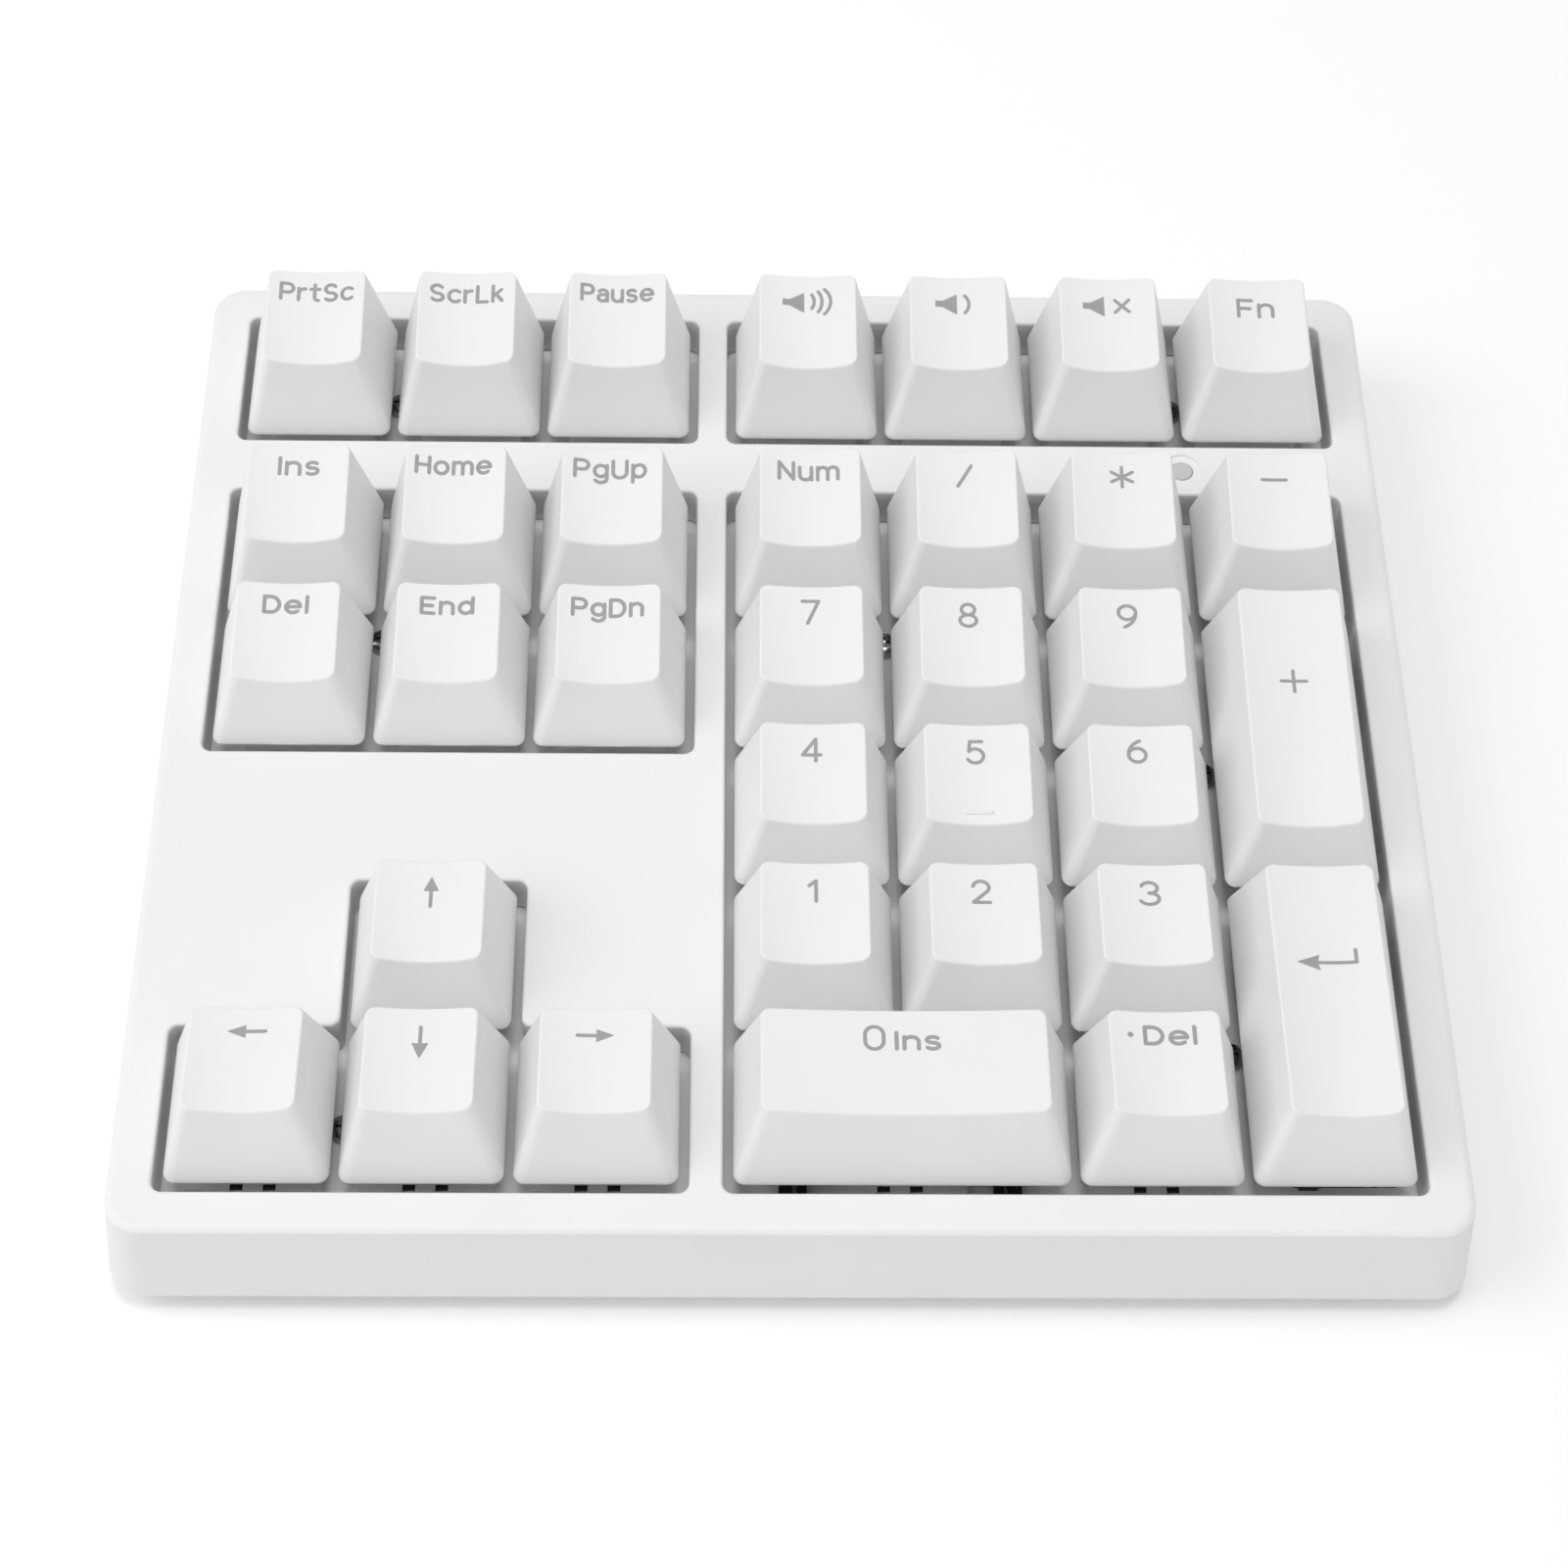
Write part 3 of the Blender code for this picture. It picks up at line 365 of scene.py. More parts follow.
def turned(bm, profile, x, y, sides=32, close_end=True):
    """A shape turned about an upright line, from (radius, z) pairs."""
    rings = [level(circle(radius, x, y, sides), z) for radius, z in profile]
    return skin(bm, rings, True, close_end)


def finished(bm, name):
    """The bmesh as a mesh, with its faces turned outward."""
    bmesh.ops.recalc_face_normals(bm, faces=bm.faces)
    mesh = bpy.data.meshes.new(name)
    bm.to_mesh(mesh)
    bm.free()
    return mesh


def smooth(mesh):
    mesh.shade_smooth()
    mesh.set_sharp_from_angle(angle=SMOOTH_ANGLE)


def link(name, mesh, material, location=(0.0, 0.0, 0.0)):
    smooth(mesh)
    mesh.materials.append(material)
    obj = bpy.data.objects.new(name, mesh)
    obj.location = location
    bpy.context.scene.collection.objects.link(obj)
    return obj


def piece(name, bm, material, body, stands_for=(), location=(0.0, 0.0, 0.0)):
    """Makes a bmesh into an object that rides on a CAD body."""
    obj = link(name, finished(bm, name), material, location)
    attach(obj, body)
    if stands_for:
        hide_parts(*stands_for)
    return obj


def carve(obj, bm, operation="DIFFERENCE"):
    """Cuts or adds a shape for good. The shape may be several blocks that overlap each other."""
    cutter = bpy.data.objects.new("cutter", finished(bm, "cutter"))
    cutter.matrix_world = obj.matrix_world.copy()
    bpy.context.scene.collection.objects.link(cutter)
    modifier = obj.modifiers.new("carve", "BOOLEAN")
    modifier.operation = operation
    modifier.use_self = True
    modifier.object = cutter
    bpy.context.view_layer.update()
    graph = bpy.context.evaluated_depsgraph_get()
    carved = bpy.data.meshes.new_from_object(obj.evaluated_get(graph))
    obj.modifiers.clear()
    obj.data = carved
    bpy.data.objects.remove(cutter, do_unlink=True)
    smooth(carved)


# ---------------------------------------------------------------- materials


def node(tree, kind, **values):
    made = tree.nodes.new(kind)
    for name, value in values.items():
        if name in made.inputs:
            made.inputs[name].default_value = value
        else:
            setattr(made, name, value)
    return made


def noise(tree, place, scale, detail=2.0):
    made = node(tree, "ShaderNodeTexNoise", Scale=scale, Detail=detail)
    tree.links.new(place.outputs["Object"], made.inputs["Vector"])
    return made.outputs["Fac"]


def spread(tree, source, low, high):
    """Maps a noise, which lies mostly between 0.3 and 0.7, to a range of values."""
    made = node(tree, "ShaderNodeMapRange")
    for index, value in enumerate((0.3, 0.7, low, high), 1):
        made.inputs[index].default_value = value
    tree.links.new(source, made.inputs[0])
    return made.outputs[0]


def tint(tree, factor, light, dark):
    made = node(tree, "ShaderNodeMix", data_type="RGBA")
    made.inputs[6].default_value = (*dark, 1.0)
    made.inputs[7].default_value = (*light, 1.0)
    tree.links.new(factor, made.inputs[0])
    return made.outputs[2]


PLASTIC_IOR = 1.46
BUMP_HEIGHT = 0.05 * MM


def surface(name, colour, shade, rough, grain, cloud=90.0, metallic=0.0):
    """A moulded, painted or plated surface.

    Its colour drifts in clouds towards colour times shade, and its roughness varies over a range. grain
    is the scale and the strength of its fine bumps. All patterns lie in the piece's own space.
    """
    grain_scale, grain_strength = grain
    material = bpy.data.materials.new(name)
    material.use_nodes = True
    tree = material.node_tree
    shader = tree.nodes["Principled BSDF"]
    shader.inputs["Metallic"].default_value = metallic
    shader.inputs["IOR"].default_value = PLASTIC_IOR
    place = node(tree, "ShaderNodeTexCoord")
    drift = spread(tree, noise(tree, place, cloud, 3.0), 0.0, 1.0)
    dark = [channel * shade for channel in colour]
    tree.links.new(tint(tree, drift, colour, dark), shader.inputs["Base Color"])
    gloss = spread(tree, noise(tree, place, grain_scale / 3), *rough)
    tree.links.new(gloss, shader.inputs["Roughness"])
    bump = node(tree, "ShaderNodeBump", Strength=grain_strength, Distance=BUMP_HEIGHT)
    tree.links.new(noise(tree, place, grain_scale), bump.inputs["Height"])
    tree.links.new(bump.outputs["Normal"], shader.inputs["Normal"])
    return material


def floor_material():
    material = surface("floor_paper", (0.95, 0.95, 0.95), 0.995, (0.8, 0.9), (900.0, 0.01), 3.0)
    shader = material.node_tree.nodes["Principled BSDF"]
    shader.inputs["Emission Color"].default_value = WHITE
    shader.inputs["Emission Strength"].default_value = FLOOR_GLOW
    return material


CASE_PLASTIC = surface("case_abs", (0.845, 0.845, 0.847), 0.985, (0.42, 0.5), (4200.0, 0.05))
KEY_PLASTIC = surface("key_pbt", (0.85, 0.85, 0.852), 0.985, (0.5, 0.58), (5200.0, 0.07), 160.0)
LEGEND_INK = surface("legend_ink", (0.36, 0.36, 0.365), 0.9, (0.5, 0.6), (6000.0, 0.04), 700.0)
PLATE_PAINT = surface("plate_paint", (0.95, 0.95, 0.955), 0.985, (0.35, 0.45), (3000.0, 0.08), 240.0, 0.1)
SWITCH_CLEAR = surface("switch_pale_plastic", (0.80, 0.80, 0.80), 0.93, (0.25, 0.35), (2500.0, 0.03), 400.0)
SWITCH_BLACK = surface("switch_black_plastic", (0.02, 0.02, 0.022), 0.7, (0.35, 0.5), (3500.0, 0.06), 300.0)
STEM_PLASTIC = surface("stem_plastic", (0.55, 0.56, 0.57), 0.95, (0.3, 0.4), (3500.0, 0.03), 400.0)
BOARD_RESIN = surface("board_resin", (0.015, 0.05, 0.035), 0.75, (0.3, 0.45), (2500.0, 0.05), 300.0)
STEEL = surface("plated_steel", (0.62, 0.62, 0.63), 0.9, (0.2, 0.34), (2600.0, 0.06), 500.0, 1.0)
BLACK_STEEL = surface("black_steel", (0.42, 0.42, 0.43), 0.9, (0.16, 0.28), (2600.0, 0.10), 800.0, 1.0)
RUBBER = surface("grey_rubber", (0.23, 0.23, 0.235), 0.85, (0.7, 0.85), (2200.0, 0.2), 300.0)
LENS = surface("lens_plastic", (0.58, 0.58, 0.58), 0.96, (0.12, 0.2), (3000.0, 0.01), 500.0)


# ---------------------------------------------------------------- case


SCREW_PLACES = places_of("plate_screw")
CASE_SCREW_PLACES = places_of("case_screw")
LENS_PLACE = box_centre("indicator_lens").xy
UNDER_SLAB = PLATE_TOP + CLEARANCE
PORT_LOW, PORT_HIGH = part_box("usb_c_port")
PORT_CENTRE = (PORT_LOW + PORT_HIGH) / 2


def port_outline(play=0.0):
    """The receptacle's round-ended section, as (x, z) pairs round its centre."""
    width = PORT_HIGH.x - PORT_LOW.x + play
    height = PORT_HIGH.z - PORT_LOW.z + play
    return rounded(centred(width, height), height / 2 - 0.05 * MM, 0.0, 8)


def port_ring(outline, y):
    return [(PORT_CENTRE.x + x, y, PORT_CENTRE.z + z) for x, z in outline]


def indicator_hole(bm):
    """The hole over the light pipe: a well from below, a narrow bore and a shallow ring at the top."""
    top, (well_radius, well_roof) = CASE_HIGH.z, PIPE_WELL
    profile = [(well_radius, UNDER_SLAB), (well_radius, top - well_roof), (PIPE_BORE, top - well_roof)]
    profile += [(PIPE_BORE, top - RING_DEPTH), (RING_FOOT, top - RING_DEPTH), (RING_RADIUS, top)]
    rings = [level(circle(radius, *LENS_PLACE, PIPE_SIDES), z) for radius, z in profile]
    return skin(bm, rings, False, False)


def top_case():
    """Skirt, rolled top edge, five windows with soft edges, the indicator's hole and the port's slot."""
    bm = bmesh.new()
    top, bottom = CASE_HIGH.z, CASE_LOW.z
    rings = [level(case_outline(WALL), UNDER_SLAB), level(case_outline(WALL), bottom)]
    for inset, drop in reversed(quarter_arc(BASE_FILLET, 4)):
        rings.append(level(case_outline(inset, FLARE), bottom + drop))
    rings += [level(case_outline(inset), top - drop) for inset, drop in rolled_edge(6)]
    shell = skin(bm, rings, False, False)
    upper, lower = [shell[-1]], [shell[0]]
    for corners in window_corners():
        rings = [level(rounded(corners, WINDOW_CORNER), UNDER_SLAB)]
        for inset, drop in quarter_arc(WINDOW_FILLET, 5):
            rings.append(level(rounded(corners, WINDOW_CORNER, inset), top - drop))
        window = skin(bm, rings, False, False)
        upper.append(window[-1])
        lower.append(window[0])
    hole = indicator_hole(bm)
    fill_between(bm, upper + [hole[-1]])
    fill_between(bm, lower + [hole[0]])
    case = piece("top_case_shell", bm, CASE_PLASTIC, "case", ["top_case"])
    slot = bmesh.new()
    outline = port_outline(SLOT_PLAY)
    skin(slot, [port_ring(outline, CASE_HIGH.y - 2 * WALL), port_ring(outline, CASE_HIGH.y + WALL)])
    carve(case, slot)
    shading = case.modifiers.new("even_shading", "WEIGHTED_NORMAL")
    shading.keep_sharp = True


def case_screw_bosses():
    """Posts from the top case's slab, through the plate and the board, down to the tray's screw pads."""
    bosses = bmesh.new()
    for x, y in CASE_SCREW_PLACES.values():
        turned(bosses, [(BOSS_RADIUS, PAD_TOP + CLEARANCE), (BOSS_RADIUS, UNDER_SLAB + 1.0 * MM)], x, y)
    piece("case_screw_bosses", bosses, CASE_PLASTIC, "case")


def bottom_tray():
    """The closing tray, with its lipped edge. What stands on its floor is added, then its wells are cut."""
    low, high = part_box("bottom_case")
    edge = WALL + CLEARANCE
    rings = []
    for inset, drop in reversed(quarter_arc(TRAY_FILLET, 3)):
        rings.append(level(case_outline(edge + inset), low.z + drop))
    rings.append(level(case_outline(edge), high.z))
    rings.append(level(case_outline(edge + LIP_WALL), high.z))
    rings.append(level(case_outline(edge + LIP_WALL), low.z + FLOOR_THICKNESS))
    bm = bmesh.new()
    skin(bm, rings)
    tray = piece("bottom_tray", bm, CASE_PLASTIC, "case", ["bottom_case"])
    carve(tray, tray_supports(low.z + FLOOR_THICKNESS / 2, high.z), "UNION")
    carve(tray, tray_wells(high.z))


def tray_supports(root, top):
    """The plate's pillars, the case screws' pads and the fold-out feet's housings."""
    supports = bmesh.new()
    for x, y in SCREW_PLACES.values():
        turned(supports, [(PILLAR_RADIUS, root), (PILLAR_RADIUS, top)], x, y)
    for x, y in CASE_SCREW_PLACES.values():
        turned(supports, [(SCREW_PAD_RADIUS, root), (SCREW_PAD_RADIUS, PAD_TOP)], x, y)
    for _, low, high, middle in boxes_of("flip_foot"):
        size = (high.x - low.x + HOUSING_MARGIN[0], high.y - low.y + HOUSING_MARGIN[1])
        rounded_block(supports, *size, root, PAD_TOP, 1.0 * MM, 0.3 * MM, middle.xy)
    return supports


def tray_wells(top):
    """Screw holes from above and from below, recesses for the rubber feet and for the fold-out feet."""
    wells = bmesh.new()
    for x, y in SCREW_PLACES.values():
        turned(wells, [(PILOT_RADIUS, 4.2 * MM), (PILOT_RADIUS, top + WALL)], x, y)
    for x, y in CASE_SCREW_PLACES.values():
        profile = [(HEAD_WELL_RADIUS, 0.0), (HEAD_WELL_RADIUS, HEAD_WELL_DEPTH)]
        profile += [(PILOT_RADIUS, HEAD_WELL_DEPTH), (PILOT_RADIUS, 6.0 * MM)]
        turned(wells, profile, x, y)
    for _, low, high, middle in boxes_of("rubber_foot"):
        size = (high.x - low.x + FOOT_PLAY, high.y - low.y + FOOT_PLAY)
        rounded_block(wells, *size, 0.0, high.z + CLEARANCE, 3.0 * MM, 0.1 * MM, middle.xy)
    for _, low, high, middle in boxes_of("flip_foot"):
        size = (high.x - low.x - 2 * PIN_END + FOOT_PLAY, high.y - low.y + FOOT_PLAY)
        rounded_block(wells, *size, 0.0, high.z + CLEARANCE, 0.6 * MM, 0.1 * MM, middle.xy)
        reach = (high.x - low.x) / 2 + CLEARANCE
        axle(wells, PIN_HOLE, middle.x, reach, high.y - (high.z - low.z) / 2, middle.z)
    return wells


def axle(bm, radius, x, reach, y, z):
    """A round bar along X."""
    outline = circle(radius, y, z, 20)
    skin(bm, [[(x + end, b, c) for b, c in outline] for end in (-reach, reach)])


# ---------------------------------------------------------------- plate, board, switches


def two_unit_keys():
    """(node, centre, turn about Z) of each key on stabilisers, whose long side is local X."""
    for name in LONG_KEYS:
        low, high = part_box(name)
        yield name, key_place(name), 0.0 if high.x - low.x > high.y - low.y else -math.pi / 2


def spun(points, centre, turn):
    spin = Matrix.Rotation(turn, 2)
    return [tuple(Vector(centre) + spin @ Vector(point)) for point in points]


def beside(side, near, far, front, rear):
    """A rectangle at one end of a long key, from millimetres. side is -1 or 1."""
    ends = sorted((side * near * MM, side * far * MM))
    return rectangle(ends[0], front * MM, ends[1], rear * MM)


def switch_plate():
    outer = rounded(centred(PLATE_HIGH.x - PLATE_LOW.x, PLATE_HIGH.y - PLATE_LOW.y), PLATE_CORNER)
    holes = [circle(BOSS_HOLE, x, y) for x, y in CASE_SCREW_PLACES.values()]
    for name in KEY_NODES:
        holes.append(rounded(centred(SWITCH_HOLE, SWITCH_HOLE, *key_place(name)), 0.4 * MM, 0.0, 3))
    holes += [circle(SCREW_HOLE, x, y) for x, y in SCREW_PLACES.values()]
    for _, centre, turn in two_unit_keys():
        for side in (-1, 1):
            cut = rounded(beside(side, *PLATE_CUT), 0.5 * MM, 0.0, 3)
            holes.append(spun(cut, centre, turn))
    bm = pierced_slab(outer, holes, PLATE_LOW.z, PLATE_TOP)
    piece("switch_plate_painted", bm, PLATE_PAINT, "case", ["switch_plate"])


def notched_flange():
    """The flange's outline: a square with a pair of latch notches at its front and at its rear."""
    half = FLANGE_SIZE / 2
    front = [(-half, -half)]
    for start, end in ((-2.55 * MM, -1.1 * MM), (1.1 * MM, 2.55 * MM)):
        front += [(start, -half), (start, NOTCH_DEPTH - half), (end, NOTCH_DEPTH - half), (end, -half)]
    front.append((half, -half))
    return front + [(-x, -y) for x, y in front]


def switches():
    """Black lower housings in the plate's holes, and pale upper housings with the stems' wells."""
    lower, upper = bmesh.new(), bmesh.new()
    flange_high = OVER_PLATE + FLANGE_HEIGHT
    steps = [
        (SWITCH_BODY, flange_high - 0.1 * MM),
        (SWITCH_BODY - 0.8 * MM, flange_high + 1.2 * MM),
        (SWITCH_HEAD - 0.2 * MM, SWITCH_HIGH.z - 0.3 * MM),
        (SWITCH_HEAD - 0.8 * MM, SWITCH_HIGH.z),
    ]
    blocks = [
        (SWITCH_BODY, SWITCH_BODY, BOARD_TOP, flange_high - 0.25 * MM),
        (*LATCH_SIZE, OVER_PLATE, flange_high - 0.45 * MM),
    ]
    for name in KEY_NODES:
        x, y = key_place(name)
        for block in blocks:
            rounded_block(lower, *block, 0.5 * MM, 0.1 * MM, (x, y))
        outline = [(x + a, y + b) for a, b in notched_flange()]
        skin(upper, [level(outline, OVER_PLATE), level(outline, flange_high)])
        rings = [level(rounded(centred(size, size, x, y), 0.9 * MM), z) for size, z in steps]
        well = rounded(centred(*STEM_WELL, x, y), 0.4 * MM)
        skin(upper, [*rings, level(well, SWITCH_HIGH.z), level(well, flange_high)])
    piece("switch_bases", lower, SWITCH_BLACK, "case")
    piece("switch_tops", upper, SWITCH_CLEAR, "case")


def circuit_board():
    margin = 2 * BOARD_MARGIN
    outer = rounded(centred(GRID_WIDTH + margin, GRID_DEPTH + margin), PLATE_CORNER)
    holes = [circle(PILLAR_HOLE, x, y) for x, y in SCREW_PLACES.values()]
    holes += [circle(BOSS_HOLE_IN_BOARD, x, y) for x, y in CASE_SCREW_PLACES.values()]
    bm = pierced_slab(outer, holes, BOARD_LOW.z, BOARD_TOP)
    board = piece("circuit_board_sheet", bm, BOARD_RESIN, "case", ["circuit_board"])
    notch = bmesh.new()
    width = PORT_HIGH.x - PORT_LOW.x + 2 * CLEARANCE
    y_low, y_high = PORT_LOW.y - CLEARANCE, CASE_HIGH.y
    outline = rectangle(PORT_CENTRE.x - width / 2, y_low, PORT_CENTRE.x + width / 2, y_high)
    skin(notch, [level(outline, 0.0), level(outline, CASE_HIGH.z)])
    carve(board, notch)


def stabilisers():
    """Black guides at both ends of each long key, with the clips that hold them to the plate."""
    guides = bmesh.new()
    for _, centre, turn in two_unit_keys():
        for side in (-1, 1):
            outline = spun([(side * x * MM, y * MM) for x, y in GUIDE_CHANNEL], centre, turn)
            skin(guides, [level(outline, BOARD_TOP), level(outline, PLATE_TOP + GUIDE_HEIGHT)])
            for clip_box in CLIPS_BESIDE if turn else CLIPS_IN_FRONT:
                clip = spun(beside(side, *clip_box), centre, turn)
                skin(guides, [level(clip, OVER_PLATE), level(clip, PLATE_TOP + CLIP_HEIGHT)])
    piece("stabiliser_guides", guides, SWITCH_BLACK, "case")


# ---------------------------------------------------------------- screws and small parts


def cross_outline(arm, half_width):
    quarter = [(arm, -half_width), (arm, half_width), (half_width, half_width)]
    outline = []
    for _ in range(4):
        outline += quarter
        quarter = [(-y, x) for x, y in quarter]
    return outline


def screw_mesh(bm, tip, seat, crown, x, y):
    """A pan-head screw with a cross recess. Its crown lies above its seat, or below when driven upward."""
    way = 1 if crown > seat else -1
    profile = [(0.3 * MM, tip)]
    for turn in range(int(abs(seat - tip) / THREAD_PITCH) - 1):
        z = tip + way * (0.5 * MM + turn * THREAD_PITCH)
        profile += [(THREAD_ROOT, z), (THREAD_CREST, z + way * THREAD_PITCH / 2)]
    profile += [(SHANK_RADIUS, seat), (HEAD_RADIUS, seat), (HEAD_RADIUS, seat + way * 0.5 * MM)]
    profile += [(radius * MM, crown - way * drop * MM) for radius, drop in CROWN]
    head = turned(bm, profile, x, y, 28, False)
    walls = []
    for arm, half_width, depth in RECESS:
        outline = [(x + a, y + b) for a, b in cross_outline(arm * MM, half_width * MM)]
        walls.append(level(outline, crown - way * depth * MM))
    cross = skin(bm, walls, False, True)
    fill_between(bm, [head[-1], cross[0]])


def screws():
    for name, (x, y) in {**SCREW_PLACES, **CASE_SCREW_PLACES}.items():
        low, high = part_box(name)
        bm = bmesh.new()
        if name in SCREW_PLACES:
            screw_mesh(bm, low.z, OVER_PLATE, high.z, x, y)
        else:
            screw_mesh(bm, high.z, low.z + 1.0 * MM, low.z, x, y)
        piece(f"{name}_crosshead", bm, BLACK_STEEL, "case", [name])


def indicator():
    """The light pipe: a foot under the case's slab, and a round-edged tip in the bore."""
    low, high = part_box("indicator_lens")
    shoulder = CASE_HIGH.z - PIPE_WELL[1] - 0.4 * MM
    profile = [(PIPE_FOOT, low.z), (PIPE_FOOT, shoulder), (PIPE_TIP, shoulder)]
    profile += [(PIPE_TIP - inset, high.z - 1.5 * drop) for inset, drop in quarter_arc(0.2 * MM, 4)]
    profile += [(0.8 * MM, high.z), (0.3 * MM, high.z)]
    bm = bmesh.new()
    turned(bm, profile, *LENS_PLACE, PIPE_SIDES)
    piece("indicator_light_pipe", bm, LENS, "case", ["indicator_lens"])


def usb_port():
    """The receptacle's shell, open to the rear, and the tongue in its mouth."""
    mouth, lip, end = PORT_HIGH.y, PORT_HIGH.y - MOUTH_EDGE, PORT_HIGH.y - MOUTH_DEPTH
    outer, soft, inner = port_outline(), port_outline(-0.16 * MM), port_outline(-2 * SHELL_WALL)
    stations = [(outer, PORT_LOW.y), (outer, lip), (soft, mouth), (inner, lip), (inner, end)]
    bm = bmesh.new()
    skin(bm, [port_ring(outline, y) for outline, y in stations])
    piece("usb_c_shell", bm, STEEL, "case", ["usb_c_port"])
    thick = rounded(centred(*TONGUE), 0.25 * MM, 0.0, 4)
    slim = rounded(centred(*TONGUE_TIP), 0.15 * MM, 0.0, 4)
    stations = [(thick, end - 0.1 * MM), (thick, mouth - 1.8 * MM), (slim, mouth - 1.5 * MM)]
    tongue = bmesh.new()
    skin(tongue, [port_ring(outline, y) for outline, y in stations])
    piece("usb_c_tongue", tongue, SWITCH_BLACK, "case")


def rubber_feet():
    for name, low, high, middle in boxes_of("rubber_foot"):
        bm = bmesh.new()
        size = (high.x - low.x, high.y - low.y)
        rounded_block(bm, *size, low.z, high.z, 2.7 * MM, 0.1 * MM, middle.xy, PAD_EDGE)
        piece(f"{name}_pad", bm, RUBBER, "case", [name])


def flip_feet():
    """Fold-out feet: a slab with a barrel along the hinge line, a pin through it and a finger notch."""
    for name, low, high, middle in boxes_of("flip_foot"):
        half = (high.z - low.z) / 2
        reach = (high.x - low.x) / 2
        slab_half = reach - PIN_END
        hinge_y = high.y - half
        turns = [math.radians(90 - 15 * step) for step in range(13)]
        side_view = [(hinge_y + half * math.cos(turn), middle.z + half * math.sin(turn)) for turn in turns]
        edge = 0.4 * MM
        side_view += [(low.y + edge, low.z), (low.y, low.z + edge)]
        side_view += [(low.y, high.z - edge), (low.y + edge, high.z)]
        bm = bmesh.new()
        skin(bm, [[(middle.x + x, y, z) for y, z in side_view] for x in (-slab_half, slab_half)])
        foot = piece(f"{name}_slab", bm, CASE_PLASTIC, name, [name])
        pin = bmesh.new()
        axle(pin, PIN_RADIUS, middle.x, reach, hinge_y, middle.z)
        carve(foot, pin, "UNION")
        notch = bmesh.new()
        place = (middle.x, low.y + 3.6 * MM)
        rounded_block(notch, *FINGER_NOTCH, low.z - WALL, low.z + 0.5 * MM, 1.2 * MM, 0.2 * MM, place)
        carve(foot, notch)


# ---------------------------------------------------------------- keycaps


class CapShape:
    """A cap's sizes, read from its CAD solid, in a frame with its origin in the middle of the rim."""

    def __init__(self, name):
        points = [vertex.co.copy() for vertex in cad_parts[name].data.vertices]
        low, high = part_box(name)
        self.origin = Vector((*key_place(name), min(points, key=lambda point: point.x).z))
        self.width, self.depth = high.x - low.x, high.y - low.y
        top = [point - self.origin for point in points if point.z > high.z - TOP_BAND]
        self.half_width = max(point.x for point in top)
        self.front, self.rear = min(point.y for point in top), max(point.y for point in top)
        side = [point for point in top if point.x > self.half_width - 0.01 * MM]
        near, far = min(side, key=lambda point: point.y), max(side, key=lambda point: point.y)
        self.slope = (far.z - near.z) / (far.y - near.y)
        self.height = near.z - self.slope * near.y
        self.roof = min(self.plane(self.front), self.plane(self.rear)) - DISH_FRONT - CAP_ROOF

    def plane(self, y):
        return self.height + self.slope * y

    def top(self, x, y):
        """Height of the dished top."""
        share = (y - self.front) / (self.rear - self.front)
        dish = DISH_FRONT + (DISH_REAR - DISH_FRONT) * share
        return self.plane(y) - dish * (1 - (x / self.half_width) ** 2)

    def top_corners(self, inset=0.0):
        side = self.half_width - inset
        return rectangle(-side, self.front + inset, side, self.rear - inset)

    def draped(self, outline):
        return [Vector((x, y, self.top(x, y))) for x, y in outline]


def cap_outline(corners, radius, grow=0.0):
    return rounded(corners, radius, grow, 6, 10)


def cap_rings(cap):
    """Rings from the post's lower end, over the roof and the rim, up the walls and over the dished top."""
    base = centred(cap.width, cap.depth)
    middle = (cap.front + cap.rear) / 2
    inner_low = cap_outline(base, RIM_CORNER, -CAP_WALL)
    inner_high = cap_outline(cap.top_corners(CAP_WALL / 2), 1.0 * MM)
    post = [tuple(Vector(point).normalized() * POST_RADIUS) for point in inner_low]
    rings = [
        level(post, STEM_HIGH - cap.origin.z),
        level(post, cap.roof - 0.5 * MM),
        level([tuple(1.2 * Vector(point)) for point in post], cap.roof),
        level(inner_high, cap.roof),
        level(inner_low, 0.1 * MM),
    ]
    for inset, drop in reversed(quarter_arc(RIM_EDGE, 3)):
        rings.append(level(cap_outline(base, RIM_CORNER, -inset), drop))
    rim = [Vector(point) for point in rings[-1]]
    edge = cap.draped(cap_outline(cap.top_corners(), TOP_CORNER))
    inward = cap.draped(cap_outline(cap.top_corners(), TOP_CORNER, -TOP_FILLET))
    below = [high + (low - high).normalized() * TOP_FILLET for low, high in zip(rim, edge)]
    for share in WALL_SHARES:
        rings.append([low.lerp(high, share) for low, high in zip(rim, below)])
    for share in FILLET_SHARES:
        ring = []
        for low, corner, high in zip(below, edge, inward):
            ring.append(low.lerp(corner, share).lerp(corner.lerp(high, share), share))
        rings.append(ring)
    for scale in DISH_SCALES:
        rings.append(cap.draped([(x * scale, middle + (y - middle) * scale) for x, y, _ in inward]))
    return rings


def stem(name, cap):
    """The switch's slider, with its rounded shoulders, pressed into the cap's post."""
    bm = bmesh.new()
    low, high = STEM_LOW - cap.origin.z, STEM_HIGH - cap.origin.z - 0.02 * MM
    rounded_block(bm, *STEM_SIZE, low, high - 0.6 * MM, 0.6 * MM, 0.3 * MM)
    rounded_block(bm, 4.0 * MM, 4.0 * MM, high - 0.7 * MM, high, 1.2 * MM, 0.1 * MM)
    piece(f"stem_{name[4:]}", bm, STEM_PLASTIC, name, (), cap.origin)


